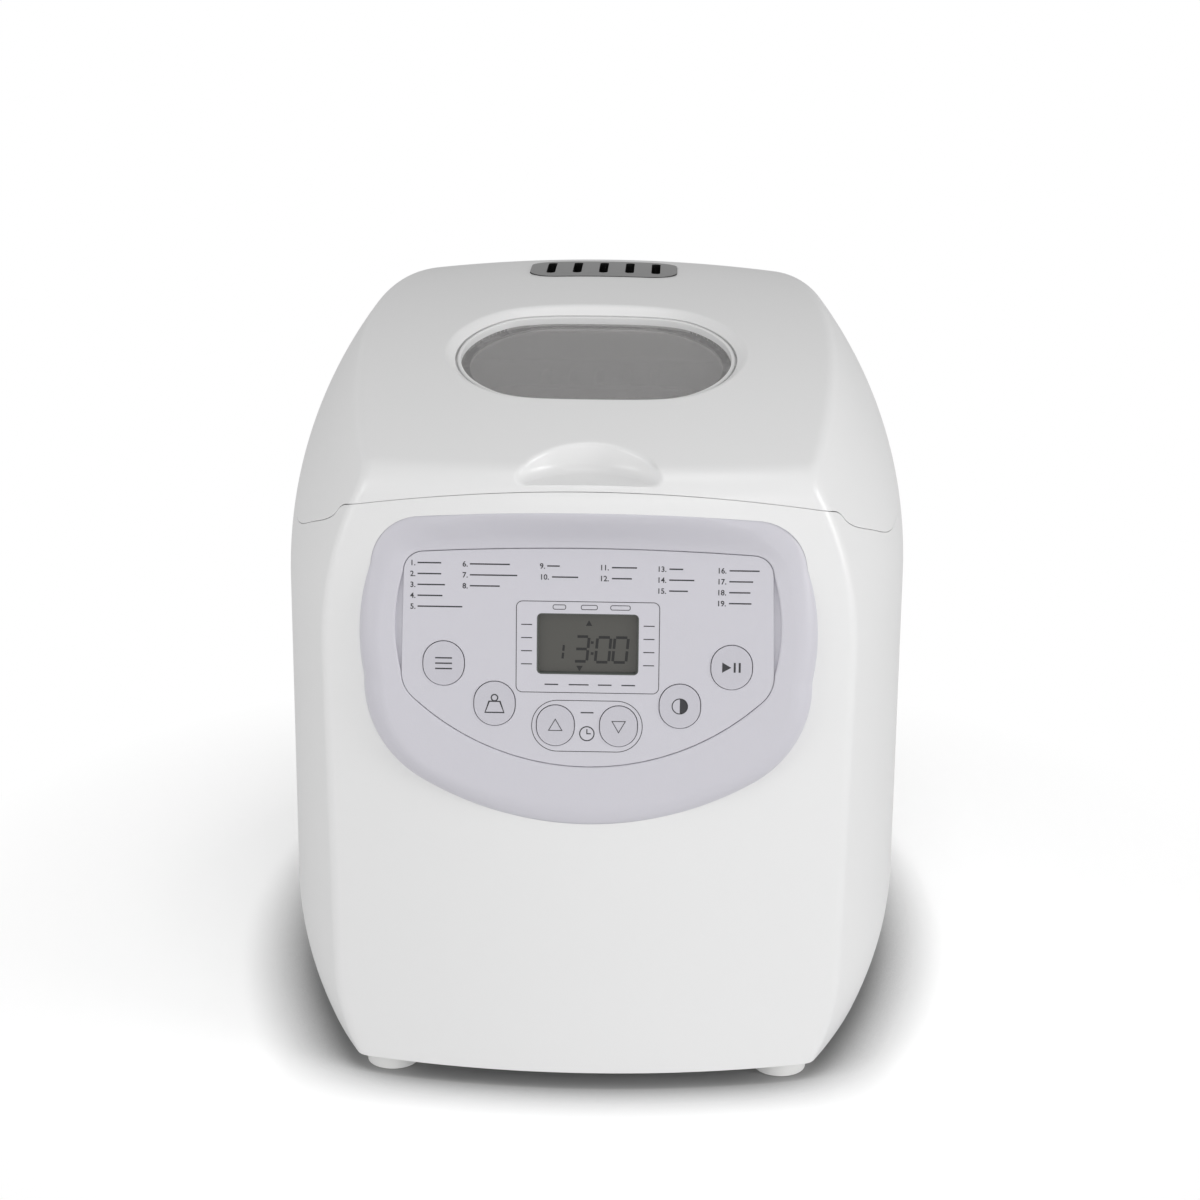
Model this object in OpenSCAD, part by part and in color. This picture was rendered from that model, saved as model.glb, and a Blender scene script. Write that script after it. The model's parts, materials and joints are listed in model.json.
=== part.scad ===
// Bread machine: a barrel-sided white housing with a hinged domed lid, an oval
// window, a tilted control panel, and the oven, kneading drive and pan inside.
// Origin: centre of the bounding box at floor level. +X right, +Y back, +Z up.

/* [Body] */
// Greatest width, across the bowed sides
body_w = 272; // [264:2:284]
// Greatest depth, front face to back face
body_d = 330; // [326:2:338]
// Height to the top of the lid
body_h = 300; // [296:1:308]
// Height of the rubber feet under the base
foot_h = 7; // [5:1:9]
// Thickness of the moulded housing wall
wall = 3; // [2.4:0.2:3.4]
// Radius of the bowed sides in plan
plan_r = 370; // [360:5:400]
// Radius of the bulged front face in plan
front_r = 364; // [340:4:420]
// Radius of the back face in plan
back_r = 700; // [600:20:900]
// Lean of the front and back faces, degrees from upright
lean = 2.5; // [2:0.25:3]

/* [Lid] */
// Drop from the top of the lid to the seam along the sides and back
seam_drop = 65; // [63.5:0.5:66]
// Rise of the seam to the middle of the front
seam_rise = 22; // [20:0.5:22.5]
// Width of the open seam between lid and housing
seam_gap = 0.8; // [0.6:0.1:1]
// Thickness of the lid moulding
lid_wall = 2.6; // [2.2:0.2:2.8]
// Radius of the lid dome, front to back
dome_r = 445; // [430:5:470]
// Radius of the lid crown, side to side
crown_r = 700; // [640:20:800]
// Rounding of the lid's front edge
edge_r = 12; // [9:1:14]
// Radius of the finger scoop in plan
scoop_r = 32.4; // [30:0.4:34]
// Diameter of the hinge pins
hinge_pin_d = 4; // [3:0.5:4.5]

/* [Window] */
// Width of the oval window
window_w = 119; // [112:1:122]
// Depth of the oval window, along the lid
window_d = 87; // [81:1:90]
// Thickness of the glass panes
glass_t = 3; // [2.6:0.2:3.2]

/* [Vent] */
// Width of the vent grille
vent_w = 67; // [62:1:72]
// Depth of the vent grille, along the lid
vent_d = 46; // [42:1:48]
// Width of one vent slot
slot_w = 4; // [3:0.5:5]

/* [Control panel] */
// Backward tilt of the panel, degrees
panel_tilt = 8; // [7:0.5:9]
// Drop from the seam at the middle of the front to the panel centre
panel_drop = 69; // [67:0.5:70]
// Width of the bezel
bezel_w = 182; // [176:1:184]
// Height of the bezel above the panel centre
bezel_up = 60; // [59:0.5:61]
// Height of the bezel below the panel centre
bezel_down = 71; // [69:0.5:73]
// Width of the printed overlay
overlay_w = 150; // [148:1:152]
// Width of the display opening
lcd_w = 41; // [39:0.5:43]
// Height of the display opening
lcd_h = 25; // [23.5:0.5:26]
// Width of the four large keys
key_w = 16.4; // [15.6:0.2:16.8]
// How much taller than wide a key is
key_rise = 1.6; // [1:0.2:1.8]
// Travel of a key
key_travel = 0.8; // [0.5:0.1:0.9]

/* [Oven] */
// Space between the oven chamber and the sides of the housing
side_room = 36; // [35:0.5:38]
// Space between the oven chamber and the front of the housing
front_room = 50; // [48:0.5:52]
// Space behind the oven chamber, for the motor and the circuit board
back_room = 120; // [118:0.5:122]
// Height of the chamber floor above the base
oven_z = 58; // [57:0.5:60]
// Radius of the heater tube
heater_r = 3.3; // [3:0.1:3.5]

/* [Bread pan] */
// Space between the pan and the chamber wall
pan_gap = 14; // [13:0.5:16]
// Drop from the lid seam to the pan rim
pan_drop = 19; // [18:0.5:24]
// Thickness of the pan wall
pan_wall = 1.6; // [1.2:0.2:2]

/* [Drive] */
// Radius of the large pulley
big_pulley_r = 40; // [36:1:42]
// Radius of the small pulley on the motor
small_pulley_r = 8; // [7.5:0.5:9]
// Radius of the motor can
motor_r = 36; // [33:1:37]
// Radius of the drive, pan and motor shafts
shaft_r = 4; // [3.5:0.25:4.5]

/* [Hidden] */

EPS = 0.01;
FAR = 500;
FN = 96;

// Colours
WHITE = [0.93, 0.93, 0.92];
LILAC = [0.80, 0.79, 0.82];
STEEL = [0.68, 0.69, 0.70];
BLACK = [0.10, 0.10, 0.11];
GREEN = [0.12, 0.38, 0.22];
BRASS = [0.78, 0.62, 0.32];

// Housing blank
half_w = body_w / 2;
side_axis_x = plan_r - half_w;
seam_z = body_h - seam_drop;
seam_arch_z = seam_z + seam_rise;
shoulder_z = seam_z - 50;
shoulder_r = 176;
tuck_z = foot_h + 38;
tuck_r = 100;
dome_y = 25;
base_t = 3;
deck_t = 3;
deck_z = seam_z - 4;
deck_wall_y = front_room - 10 - body_d / 2;

// Half width of the blank, o inside its surface, at depth y and height z
function shoulder_in(z) = z > shoulder_z ? shoulder_r - sqrt(pow(shoulder_r, 2) - pow(z - shoulder_z, 2)) : 0;
function tuck_in(z) = z < tuck_z ? tuck_r - sqrt(pow(tuck_r, 2) - pow(tuck_z - z, 2)) : 0;
function side_x(y, z, o = 0) =
  sqrt(pow(plan_r - o - shoulder_in(z) - tuck_in(z), 2) - y * y) - side_axis_x;
// Height of the dome over (x, y)
function dome_z(x, y) =
  body_h - dome_r + sqrt(pow(dome_r, 2) - pow(y - dome_y, 2)) - crown_r + sqrt(pow(crown_r, 2) - x * x);
// Depth of the front and back faces at (x, z)
function front_y(x, z) =
  -body_d / 2 + (z - foot_h) * tan(lean) + front_r - sqrt(pow(front_r, 2) - x * x);
function back_y(x, z) =
  body_d / 2 - (z - foot_h) * tan(lean) - back_r + sqrt(pow(back_r, 2) - x * x);

// The front edge rounding touches the leaning front line and the dome circle
edge_a = -body_d / 2 + edge_r / cos(lean) - foot_h * tan(lean) - dome_y;
edge_b = tan(lean);
edge_c = body_h - dome_r;
edge_q = edge_a * edge_b - edge_c;
edge_z = (-edge_q + sqrt(edge_q * edge_q
  - (1 + edge_b * edge_b) * (edge_a * edge_a + edge_c * edge_c - pow(dome_r - edge_r, 2)))) / (1 + edge_b * edge_b);
edge_y = edge_a + edge_b * edge_z + dome_y;
edge_turn = atan2(edge_z - edge_c, dome_y - edge_y) - lean;

// Seam arch across the front: a wide arc, then an S-bend down to the side seam
arch_x = 94;
arch_r = (pow(99, 2) + pow(11, 2)) / 22;
arch_end = asin(arch_x / arch_r);
arch_end_z = seam_arch_z - arch_r * (1 - cos(arch_end));
bend_turn = 60;
bend_r = (arch_end_z - seam_z) / (1 + cos(arch_end) - 2 * cos(bend_turn));
bend_x = arch_x - bend_r * sin(arch_end);
bend_z = arch_end_z - bend_r * cos(arch_end);
bend_mid_x = bend_x + bend_r * sin(bend_turn);
bend_mid_z = bend_z + bend_r * cos(bend_turn);
bend_out_x = bend_x + 2 * bend_r * sin(bend_turn);

// Finger scoop
scoop_y = front_y(0, seam_arch_z) - 11;
scoop_z = seam_arch_z + 2.5;
scoop_round = 6;

// Hinge
hinge_r = hinge_pin_d / 2 + 2.5;
hinge_y = body_d / 2 - hinge_r;
hinge_z = seam_z + 1;
hinge_x = 65;
hinge_len = 26;
knuckle = 9;

// Window
window_y = 108.4 - body_d / 2;
window_slope = asin((dome_y - window_y) / dome_r);
window_arc = 300;
window_end_r = window_d / 2 + 2;
window_sink = 5.9;
window_splay = 6.4;
collar_w = 7.5;
collar_t = 2.5;
ring_t = 2;
ring_gap = 0.5;
ring_flange = 3;
ring_ledge = 3.5;
glass_drop = 8.9;
gasket_t = 0.8;
ring_bottom = glass_drop + glass_t + gasket_t + 1.3;
inner_window = [window_w - 11, window_d - 12];

// Vent
vent_y = body_d / 2 - 102;
vent_slots = 5;
slot_pitch = 11.9;
slot_len = 32;

// Control panel: local x right, local y up the panel, local z out of it
panel_z = seam_arch_z - panel_drop;
panel_y = front_y(0, panel_z) + 5.2;
bezel_proud = 1.2;
bezel_lip = 16;
overlay_up = 43.5;
overlay_down = 46;
overlay_t = 1;
floor_t = 2;
pcb_t = 1.6;
pcb_drop = 9;
lcd_y = 4.6;
key_gap = 0.35;
key_proud = 0.4;
key_flange = 1.4;
key_back = 4;
small_key_w = key_w - 1.4;
key_spread = overlay_w / 2 - 17;
keys = [
  ["menu", -key_spread, -4, key_w],
  ["weight", -0.645 * key_spread, -20.3, key_w],
  ["timer_up", -0.22 * key_spread, -29, small_key_w],
  ["timer_down", 0.22 * key_spread, -29, small_key_w],
  ["crust", 0.645 * key_spread, -20.3, key_w],
  ["start", key_spread, -4, key_w]
];
boss_top = [overlay_w / 2 - 11, 32];
boss_low = [overlay_w / 2 - 23, -20];
boss_points = [[-boss_top[0], boss_top[1]], boss_top, [-boss_low[0], boss_low[1]], boss_low];

// Oven
oven_w = body_w - 2 * side_room;
oven_d = body_d - front_room - back_room;
oven_y = (front_room - back_room) / 2;
oven_r = 22;
sheet = 1;
flange = 7;
flange_z = deck_z + sheet;
heater_z = oven_z + 28;
heater_half = [oven_w / 2 - heater_r - 3.7, oven_d / 2 - heater_r - 3.7];
heater_bend = 25;
terminal_x = 16;
terminal_bend = 8;
post_x = oven_w / 2 - 20;
post_y = oven_d / 2 - 22;

// Pan
pan_w = oven_w - 2 * pan_gap;
pan_d = oven_d - 2 * pan_gap;
pan_ring_r = 34;
pan_z = oven_z + 20;
pan_top = seam_z - pan_drop;
pan_h = pan_top - pan_z;
pan_r = 20;
rim_out = 5;
handle_r = 2.2;
handle_z = pan_top + 3.2;
handle_x = pan_w / 2 - 5;
handle_y = pan_d / 2 - 6;

// Lid liner: a flat rim with a raised middle over the pan
liner_z = seam_z + 1;
liner_rise = 22;
liner_w = pan_w + 18;
liner_d = pan_d + 18;
liner_r = 24;
liner_slot = liner_d / 6;

// Drive
base_top = foot_h + base_t;
pulley_z = base_top + 10;
pulley_h = 12;
belt_h = 8;
belt_t = 1.5;
belt_gap = 0.3;
hub_top = pulley_z + pulley_h + 2;
sleeve_z = hub_top + 2;
sleeve_r = 11;
sleeve_top = oven_z + 4;
coupling_z = sleeve_top + 0.5;
bush_r = shaft_r + 3;
bush_h = 10;

// Motor
motor_x = half_w - 86;
motor_y = body_d / 2 - 63;
bracket_z = pulley_z + pulley_h + 10;
bracket_t = 3;
mount_h = 3;
motor_z = bracket_z + bracket_t + mount_h;
motor_h = 50;
leg_x = 42;
leg_y = 32;

// Electronics
power_w = half_w - 52;
power_d = 70;
power_x = power_w / 2 + 38 - half_w;
power_y = body_d / 2 - 65;
power_z = base_top + 28;
relay_size = [18, 24, 16];
transformer_size = [34, 30, 26];
capacitor_r = 10;
capacitor_x = half_w - 50;
capacitor_y = oven_y + oven_d / 2 - 4;
gland_x = power_x - 14;
gland_z = 32;

screw_r = 1.5;
base_boss_y = body_d / 2 - 53;
base_boss_in = 4.8;
pilot_r = screw_r + 0.05;
cooling_y = 55 - body_d / 2;
cooling_len = 40;
cooling_pitch = 10;
lid_boss = [oven_w / 2 - 7.5, oven_d / 2 - 7.5];
fit_gap = 0.12;

// ---- Shared shapes ----

module at_sides(x, y) {
  for (sx = [-1, 1], sy = [-1, 1]) {
    translate([sx * x, sy * y, 0]) children();
  }
}

module rounded_rect(w, d, r) {
  at_corner = [w / 2 - r, d / 2 - r];
  square([w, d - 2 * r], center = true);
  square([w - 2 * r, d], center = true);
  for (sx = [-1, 1], sy = [-1, 1]) {
    translate([sx * at_corner[0], sy * at_corner[1]]) circle(r, $fn = FN);
  }
}

module rounded_block(w, d, h, r) {
  linear_extrude(h) rounded_rect(w, d, r);
}

module tube(r_out, r_in, h) {
  difference() {
    cylinder(r = r_out, h = h, $fn = FN);
    translate([0, 0, -1]) cylinder(r = r_in, h = h + 2, $fn = FN);
  }
}

// Corner outside a circle of radius r, used to round a revolved profile
module outside_arc(r, reach, up) {
  difference() {
    translate([0, up ? 0 : -FAR]) square([reach, FAR]);
    circle(r, $fn = 360);
  }
}

// ---- Housing blank: every outer surface, o inside it ----

module side_profile(o) {
  difference() {
    square([plan_r - o, body_h + 30]);
    translate([plan_r - shoulder_r, shoulder_z]) outside_arc(shoulder_r - o, shoulder_r + 5, true);
    translate([plan_r - tuck_r, tuck_z]) outside_arc(tuck_r - o, tuck_r + 5, false);
  }
}

module side_disc(o) {
  translate([-side_axis_x, 0, 0]) rotate([0, 0, 180]) rotate_extrude($fn = 240) side_profile(o);
}

module dome(o) {
  translate([0, dome_y, body_h - crown_r]) rotate([90, 0, 0]) rotate_extrude($fn = 360) {
    intersection() {
      translate([crown_r - dome_r, 0]) circle(dome_r - o, $fn = 360);
      translate([0, -dome_r]) square([crown_r, 2 * dome_r]);
    }
  }
}

module face_cylinder(r, o, side) {
  translate([0, side * body_d / 2, foot_h]) rotate([side * lean, 0, 0]) {
    translate([0, -side * r, -30]) cylinder(r = r - o, h = body_h + 60, $fn = 360);
  }
}

// What the front edge rounding takes off, about the front face's own axis
module edge_trim(o) {
  reach = 30;
  along = (edge_z - foot_h) * cos(lean) + (edge_y + body_d / 2) * sin(lean);
  translate([0, -body_d / 2, foot_h]) rotate([-lean, 0, 0]) translate([0, front_r, along]) {
    rotate_extrude($fn = 360) translate([front_r - edge_r, 0]) difference() {
      polygon([[0, 0], [reach, 0], [reach, reach * 1.2], [reach * cos(edge_turn), reach * sin(edge_turn)]]);
      circle(edge_r - o, $fn = FN);
    }
  }
}

module blank(o, z0, z1) {
  difference() {
    intersection() {
      side_disc(o);
      mirror([1, 0, 0]) side_disc(o);
      dome(o);
      face_cylinder(front_r, o, -1);
      face_cylinder(back_r, o, 1);
      translate([-FAR / 2, -FAR / 2, z0]) cube([FAR, FAR, z1 - z0]);
    }
    if (z1 > edge_z) edge_trim(o);
  }
}

// Right half of the seam line over the front, from the middle outwards
seam_half = concat(
  [for (i = [0:12]) let (t = arch_end * i / 12) [arch_r * sin(t), seam_arch_z - arch_r * (1 - cos(t))]],
  [for (i = [1:6]) let (t = arch_end + (bend_turn - arch_end) * i / 6)
    [bend_x + bend_r * sin(t), bend_z + bend_r * cos(t)]],
  [for (i = [5:-1:0]) let (t = bend_turn * i / 6)
    [bend_out_x - bend_r * sin(t), seam_z + bend_r * (1 - cos(t))]],
  [[FAR / 2, seam_z]]
);
seam_line = concat([for (i = [len(seam_half) - 1:-1:1]) [-seam_half[i][0], seam_half[i][1]]], seam_half);

// Block in front of depth y, on one side of the seam line lowered by d
module below_seam(d, y) {
  translate([0, y, -d]) rotate([90, 0, 0]) linear_extrude(FAR / 2) {
    polygon(concat(seam_line, [[FAR / 2, seam_z - 40], [-FAR / 2, seam_z - 40]]));
  }
}

module above_seam(d, y) {
  translate([0, y, -d]) rotate([90, 0, 0]) linear_extrude(FAR / 2) {
    polygon(concat(seam_line, [[FAR / 2, body_h + 50], [-FAR / 2, body_h + 50]]));
  }
}

// ---- Panel, window and vent outlines ----

module on_panel(out = 0) {
  translate([0, panel_y, panel_z]) rotate([90 - panel_tilt, 0, 0]) translate([0, 0, out]) children();
}

function arc(c, r, a0, a1, n) = [for (i = [0:n]) let (t = a0 + (a1 - a0) * i / n) c + r * [cos(t), sin(t)]];

// D shape: a wide arched top, rounded corners and a deep arc below, each running into the next.
module d_shape(half, up, down, top_r, top_in, top_drop, low_r, low_y) {
  top_c = [half - top_in - top_r, up - top_drop - top_r];
  low_c = [half - low_r, low_y];
  cap_r = (pow(top_c[0], 2) + pow(top_drop + top_r, 2) - top_r * top_r) / (2 * top_drop);
  sag = low_y + down;
  bowl_r = (pow(low_c[0], 2) + sag * sag - low_r * low_r) / (2 * (sag - low_r));
  cap_c = [0, up - cap_r];
  bowl_c = [0, bowl_r - down];
  cap_end = atan2(top_c[1] - cap_c[1], top_c[0]);
  bowl_end = atan2(low_c[1] - bowl_c[1], low_c[0]);
  side = top_c - low_c;
  lean_out = atan2(side[1], side[0]) - acos((low_r - top_r) / norm(side));
  right = concat(
    arc(cap_c, cap_r, 90, cap_end, 8),
    arc(top_c, top_r, cap_end - 2, lean_out, 8),
    arc(low_c, low_r, lean_out, bowl_end, 10),
    arc(bowl_c, bowl_r, bowl_end - 1, -90, 10)
  );
  polygon(concat(right, [for (i = [len(right) - 2:-1:1]) [-right[i][0], right[i][1]]]));
}

module bezel_2d(o) {
  d_shape(bezel_w / 2 - o, bezel_up - o, bezel_down - o, 22 - o, 3, 3, 45 - o, -14);
}

module overlay_2d(o) {
  d_shape(overlay_w / 2 - o, overlay_up - o, overlay_down - o, 8 - o, 1, 2, 14 - o, -7.8);
}

module key_2d(w) {
  for (s = [-1, 1]) translate([0, s * key_rise / 2]) circle(d = w, $fn = FN);
  square([w, key_rise], center = true);
}

module window_2d(o) {
  intersection() {
    union() {
      for (s = [-1, 1]) translate([s * (window_w / 2 - window_end_r), 0]) circle(window_end_r - o, $fn = FN);
      square([window_w - 2 * window_end_r, 2 * (window_end_r - o)], center = true);
    }
    for (s = [-1, 1]) {
      translate([0, s * (window_arc - window_d / 2)]) circle(window_arc - o, $fn = 360);
    }
  }
}

module on_window(out = 0) {
  translate([0, window_y, dome_z(0, window_y)]) rotate([window_slope, 0, 0]) translate([0, 0, out]) children();
}

module window_prism(o, n0, n1) {
  on_window(n0) linear_extrude(n1 - n0) window_2d(o);
}

// Countersink round the window, from the lid surface down to the window ring
module window_slope_cut() {
  h = window_sink + 1;
  grow = window_splay * h / window_sink;
  end_x = window_w / 2 - window_end_r;
  on_window(-window_sink) intersection() {
    union() {
      for (s = [-1, 1]) {
        translate([s * end_x, 0, 0]) cylinder(r1 = window_end_r, r2 = window_end_r + grow, h = h, $fn = FN);
      }
      translate([-end_x, -window_end_r - grow, 0]) cube([2 * end_x, 2 * (window_end_r + grow), h]);
    }
    for (s = [-1, 1]) {
      translate([0, s * (window_arc - window_d / 2), 0]) {
        cylinder(r1 = window_arc, r2 = window_arc + grow, h = h, $fn = 360);
      }
    }
  }
}

module scoop(o) {
  translate([0, scoop_y, scoop_z]) {
    translate([0, 0, scoop_round]) cylinder(r = scoop_r + o, h = 40, $fn = FN);
    translate([0, 0, -o]) cylinder(r = scoop_r - scoop_round, h = 40, $fn = FN);
    translate([0, 0, scoop_round]) rotate_extrude($fn = FN) {
      translate([scoop_r - scoop_round, 0]) circle(scoop_round + o, $fn = FN);
    }
  }
}

module vent_block(grow, z0, z1) {
  translate([0, vent_y, z0]) rounded_block(vent_w + 2 * grow, vent_d + 2 * grow, z1 - z0, 13 + grow);
}

// ---- Hinge ----

module along_x(r, len) {
  rotate([0, 90, 0]) cylinder(r = r, h = len, center = true, $fn = FN);
}

module at_hinges() {
  for (s = [-1, 1]) translate([s * hinge_x, hinge_y, hinge_z]) children();
}

// One ear: a barrel and a web to the wall, as [depth, height] points from the pin
module ear(len, web) {
  rotate([90, 0, 90]) linear_extrude(len, center = true) union() {
    circle(hinge_r, $fn = FN);
    polygon(web);
  }
}

// ---- Housing ----

module base_boss_at() {
  x = side_x(base_boss_y, base_top, wall) - base_boss_in;
  at_sides(x, base_boss_y) children();
}

module body_shell() {
  web_y = back_y(hinge_x, seam_z) - hinge_y;
  color(WHITE) difference() {
    union() {
      difference() {
        blank(0, foot_h, seam_arch_z + 2);
        translate([-FAR / 2, deck_wall_y - EPS, seam_z]) cube([FAR, FAR, FAR]);
        above_seam(0, deck_wall_y);
        blank(wall, foot_h - 1, seam_arch_z + 3);
        on_panel(-20) linear_extrude(60) bezel_2d(-0.15);
      }
      base_boss_at() translate([0, 0, base_top]) intersection() {
        cylinder(r = 5, h = 22, $fn = FN);
        translate([-6, -6, 0]) cube([12, 12, 22]);
      }
      at_hinges() for (s = [-1, 1]) {
        translate([s * (hinge_len - 8) / 2, 0, 0]) {
          ear(8, [[web_y - wall + 1.8, -16], [web_y + 1, -16], [hinge_r * 0.8, -hinge_r * 0.6], [0, 0],
            [web_y - wall + 1.8, -1.6]]);
        }
      }
    }
    base_boss_at() translate([0, 0, base_top - 1]) cylinder(r = pilot_r, h = 16, $fn = FN);
    at_hinges() along_x(hinge_pin_d / 2, hinge_len + 2);
    gland_hole(8.2, 11.2);
  }
}

module gland_hole(r, flange_r) {
  y = back_y(gland_x, gland_z);
  translate([gland_x, y - 10, gland_z]) rotate([-90, 0, 0]) cylinder(r = r, h = 20, $fn = FN);
  translate([gland_x, y - 1.8, gland_z]) rotate([-90, 0, 0]) cylinder(r = flange_r, h = 12, $fn = FN);
}

module cord_gland() {
  y = back_y(gland_x, gland_z);
  color(BLACK) translate([gland_x, 0, gland_z]) rotate([-90, 0, 0]) difference() {
    union() {
      translate([0, 0, y - 9]) cylinder(r = 8.2, h = 8, $fn = FN);
      translate([0, 0, y - 1.8]) cylinder(r = 11.2, h = 3.4, $fn = FN);
    }
    translate([0, 0, y - 12]) cylinder(r = 3.8, h = 20, $fn = FN);
  }
}

foot_x = side_x(body_d / 2 - 25, foot_h, wall) - 15;
foot_y = body_d / 2 - 25;

module base_plate() {
  color(STEEL) difference() {
    union() {
      blank(wall, foot_h, base_top);
      for (sx = [-1, 1], sy = [-1, 1]) {
        translate([power_x + sx * (power_w / 2 - 6), power_y + sy * (power_d / 2 - 6), base_top - EPS]) {
          cylinder(r = 3.5, h = power_z - base_top + EPS, $fn = FN);
        }
      }
    }
    at_sides(foot_x, foot_y) translate([0, 0, foot_h - 1]) cylinder(r = 4, h = base_t + 2, $fn = FN);
    base_boss_at() translate([0, 0, foot_h - 1]) {
      cylinder(r = screw_r, h = base_t + 2, $fn = FN);
      cylinder(r = 3, h = 2.4, $fn = FN);
    }
    // Cooling slots under the motor and the circuit board
    for (i = [-7:7]) {
      translate([i * cooling_pitch, cooling_y, foot_h - 1]) rounded_block(4, cooling_len, base_t + 2, 1.9);
    }
  }
}

module feet() {
  color(WHITE) at_sides(foot_x, foot_y) {
    cylinder(r = 11, h = foot_h, $fn = FN);
    cylinder(r = 4, h = base_top + 2, $fn = FN);
    translate([0, 0, base_top]) cylinder(r = 5.5, h = 2, $fn = FN);
  }
}

module base_screws() {
  color(STEEL) base_boss_at() translate([0, 0, foot_h]) {
    cylinder(r = 3, h = 1.4, $fn = FN);
    cylinder(r = screw_r, h = 14, $fn = FN);
  }
}

module top_deck() {
  low = deck_z - deck_t;
  color(WHITE) difference() {
    union() {
      difference() {
        blank(wall + fit_gap, low, seam_arch_z);
        translate([-FAR / 2, deck_wall_y + 2 - EPS, deck_z]) cube([FAR, FAR, FAR]);
        above_seam(1.8, deck_wall_y + 2);
      }
    }
    below_seam(4, deck_wall_y);
    translate([0, oven_y, low - 1]) {
      rounded_block(oven_w + 2 * sheet, oven_d + 2 * sheet, deck_t + 2, oven_r + sheet);
    }
  }
}

module hinge_pins() {
  color(STEEL) at_hinges() along_x(hinge_pin_d / 2, hinge_len);
}

// ---- Control panel ----

module control_bezel() {
  low = panel_z - bezel_down - 8;
  high = panel_z + bezel_up + 8;
  back = overlay_t + floor_t;
  color(LILAC) difference() {
    union() {
      intersection() {
        on_panel(-14) linear_extrude(40) bezel_2d(0);
        blank(-bezel_proud, low, high);
      }
      on_panel(-12) linear_extrude(11.9) overlay_2d(-2.6);
      intersection() {
        on_panel(-20) linear_extrude(40) bezel_2d(-3);
        difference() {
          blank(wall, low, high);
          blank(wall + 2, low - 1, high + 1);
        }
      }
    }
    hull() {
      on_panel(0) linear_extrude(0.2) overlay_2d(-0.4);
      on_panel(bezel_lip) linear_extrude(0.2) bezel_2d(1);
    }
    on_panel(-overlay_t) linear_extrude(20) overlay_2d(0);
    on_panel(-40) linear_extrude(40 - back) overlay_2d(-0.4);
    on_panel(-20) translate([0, lcd_y, 0]) rounded_block(lcd_w + 6, lcd_h + 6, 30, 2.5);
    for (k = keys) {
      on_panel(-10) translate([k[1], k[2], 0]) linear_extrude(20) key_2d(k[3] + 2 * key_gap);
    }
  }
  color(LILAC) for (p = boss_points) {
    on_panel(-pcb_drop) translate([p[0], p[1], 0]) tube(3.4, 1.3, pcb_drop - back + EPS);
  }
}

module control_overlay() {
  color(LILAC) on_panel(-overlay_t) difference() {
    linear_extrude(overlay_t) overlay_2d(0);
    translate([0, lcd_y, -1]) rounded_block(lcd_w, lcd_h, overlay_t + 2, 2);
    for (k = keys) {
      translate([k[1], k[2], -1]) linear_extrude(overlay_t + 2) key_2d(k[3] + 2 * key_gap);
    }
  }
}

module lcd_lens() {
  color([0.35, 0.36, 0.33]) on_panel(-overlay_t - floor_t) translate([0, lcd_y, 0]) {
    rounded_block(lcd_w + 5.8, lcd_h + 5.8, floor_t, 2.4);
    rounded_block(lcd_w - 0.2, lcd_h - 0.2, floor_t + overlay_t - 0.5, 1.9);
  }
}

module lcd_module() {
  color(GREEN) on_panel(-pcb_drop) translate([0, lcd_y, 0]) {
    rounded_block(lcd_w + 11, lcd_h + 11, pcb_drop - overlay_t - floor_t, 1);
  }
}

module control_pcb() {
  color(GREEN) on_panel(-pcb_drop - pcb_t) difference() {
    union() {
      translate([0, 12, 0]) rounded_block(overlay_w - 10, 50, pcb_t, 4);
      translate([0, -10, 0]) rounded_block(116, 28, pcb_t, 4);
      translate([0, -18, 0]) rounded_block(94, 28, pcb_t, 4);
    }
    for (p = boss_points) translate([p[0], p[1], -1]) cylinder(r = 1.3, h = pcb_t + 2, $fn = FN);
  }
}

module tact_switches() {
  stem = pcb_drop - key_back - key_travel - 0.1;
  color(BLACK) for (k = keys) on_panel(-pcb_drop) translate([k[1], k[2], 0]) {
    translate([-3, -3, 0]) cube([6, 6, 2.4]);
    cylinder(r = 1.7, h = stem, $fn = FN);
  }
}

module panel_screws() {
  color(STEEL) for (p = boss_points) {
    on_panel(-pcb_drop - pcb_t) translate([p[0], p[1], 0]) {
      translate([0, 0, -1.8]) cylinder(r = 2.6, h = 1.8, $fn = FN);
      cylinder(r = 1.3, h = 5.5, $fn = FN);
    }
  }
}

module key(k) {
  color(LILAC) on_panel(-key_back) translate([k[1], k[2], 0]) {
    linear_extrude(key_back + key_proud) key_2d(k[3]);
    linear_extrude(key_back - overlay_t - floor_t - 0.2) key_2d(k[3] + 2 * key_flange);
  }
}

module menu_button() { key(keys[0]); }
module weight_button() { key(keys[1]); }
module timer_up_button() { key(keys[2]); }
module timer_down_button() { key(keys[3]); }
module crust_button() { key(keys[4]); }
module start_button() { key(keys[5]); }

// ---- Oven ----

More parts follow.
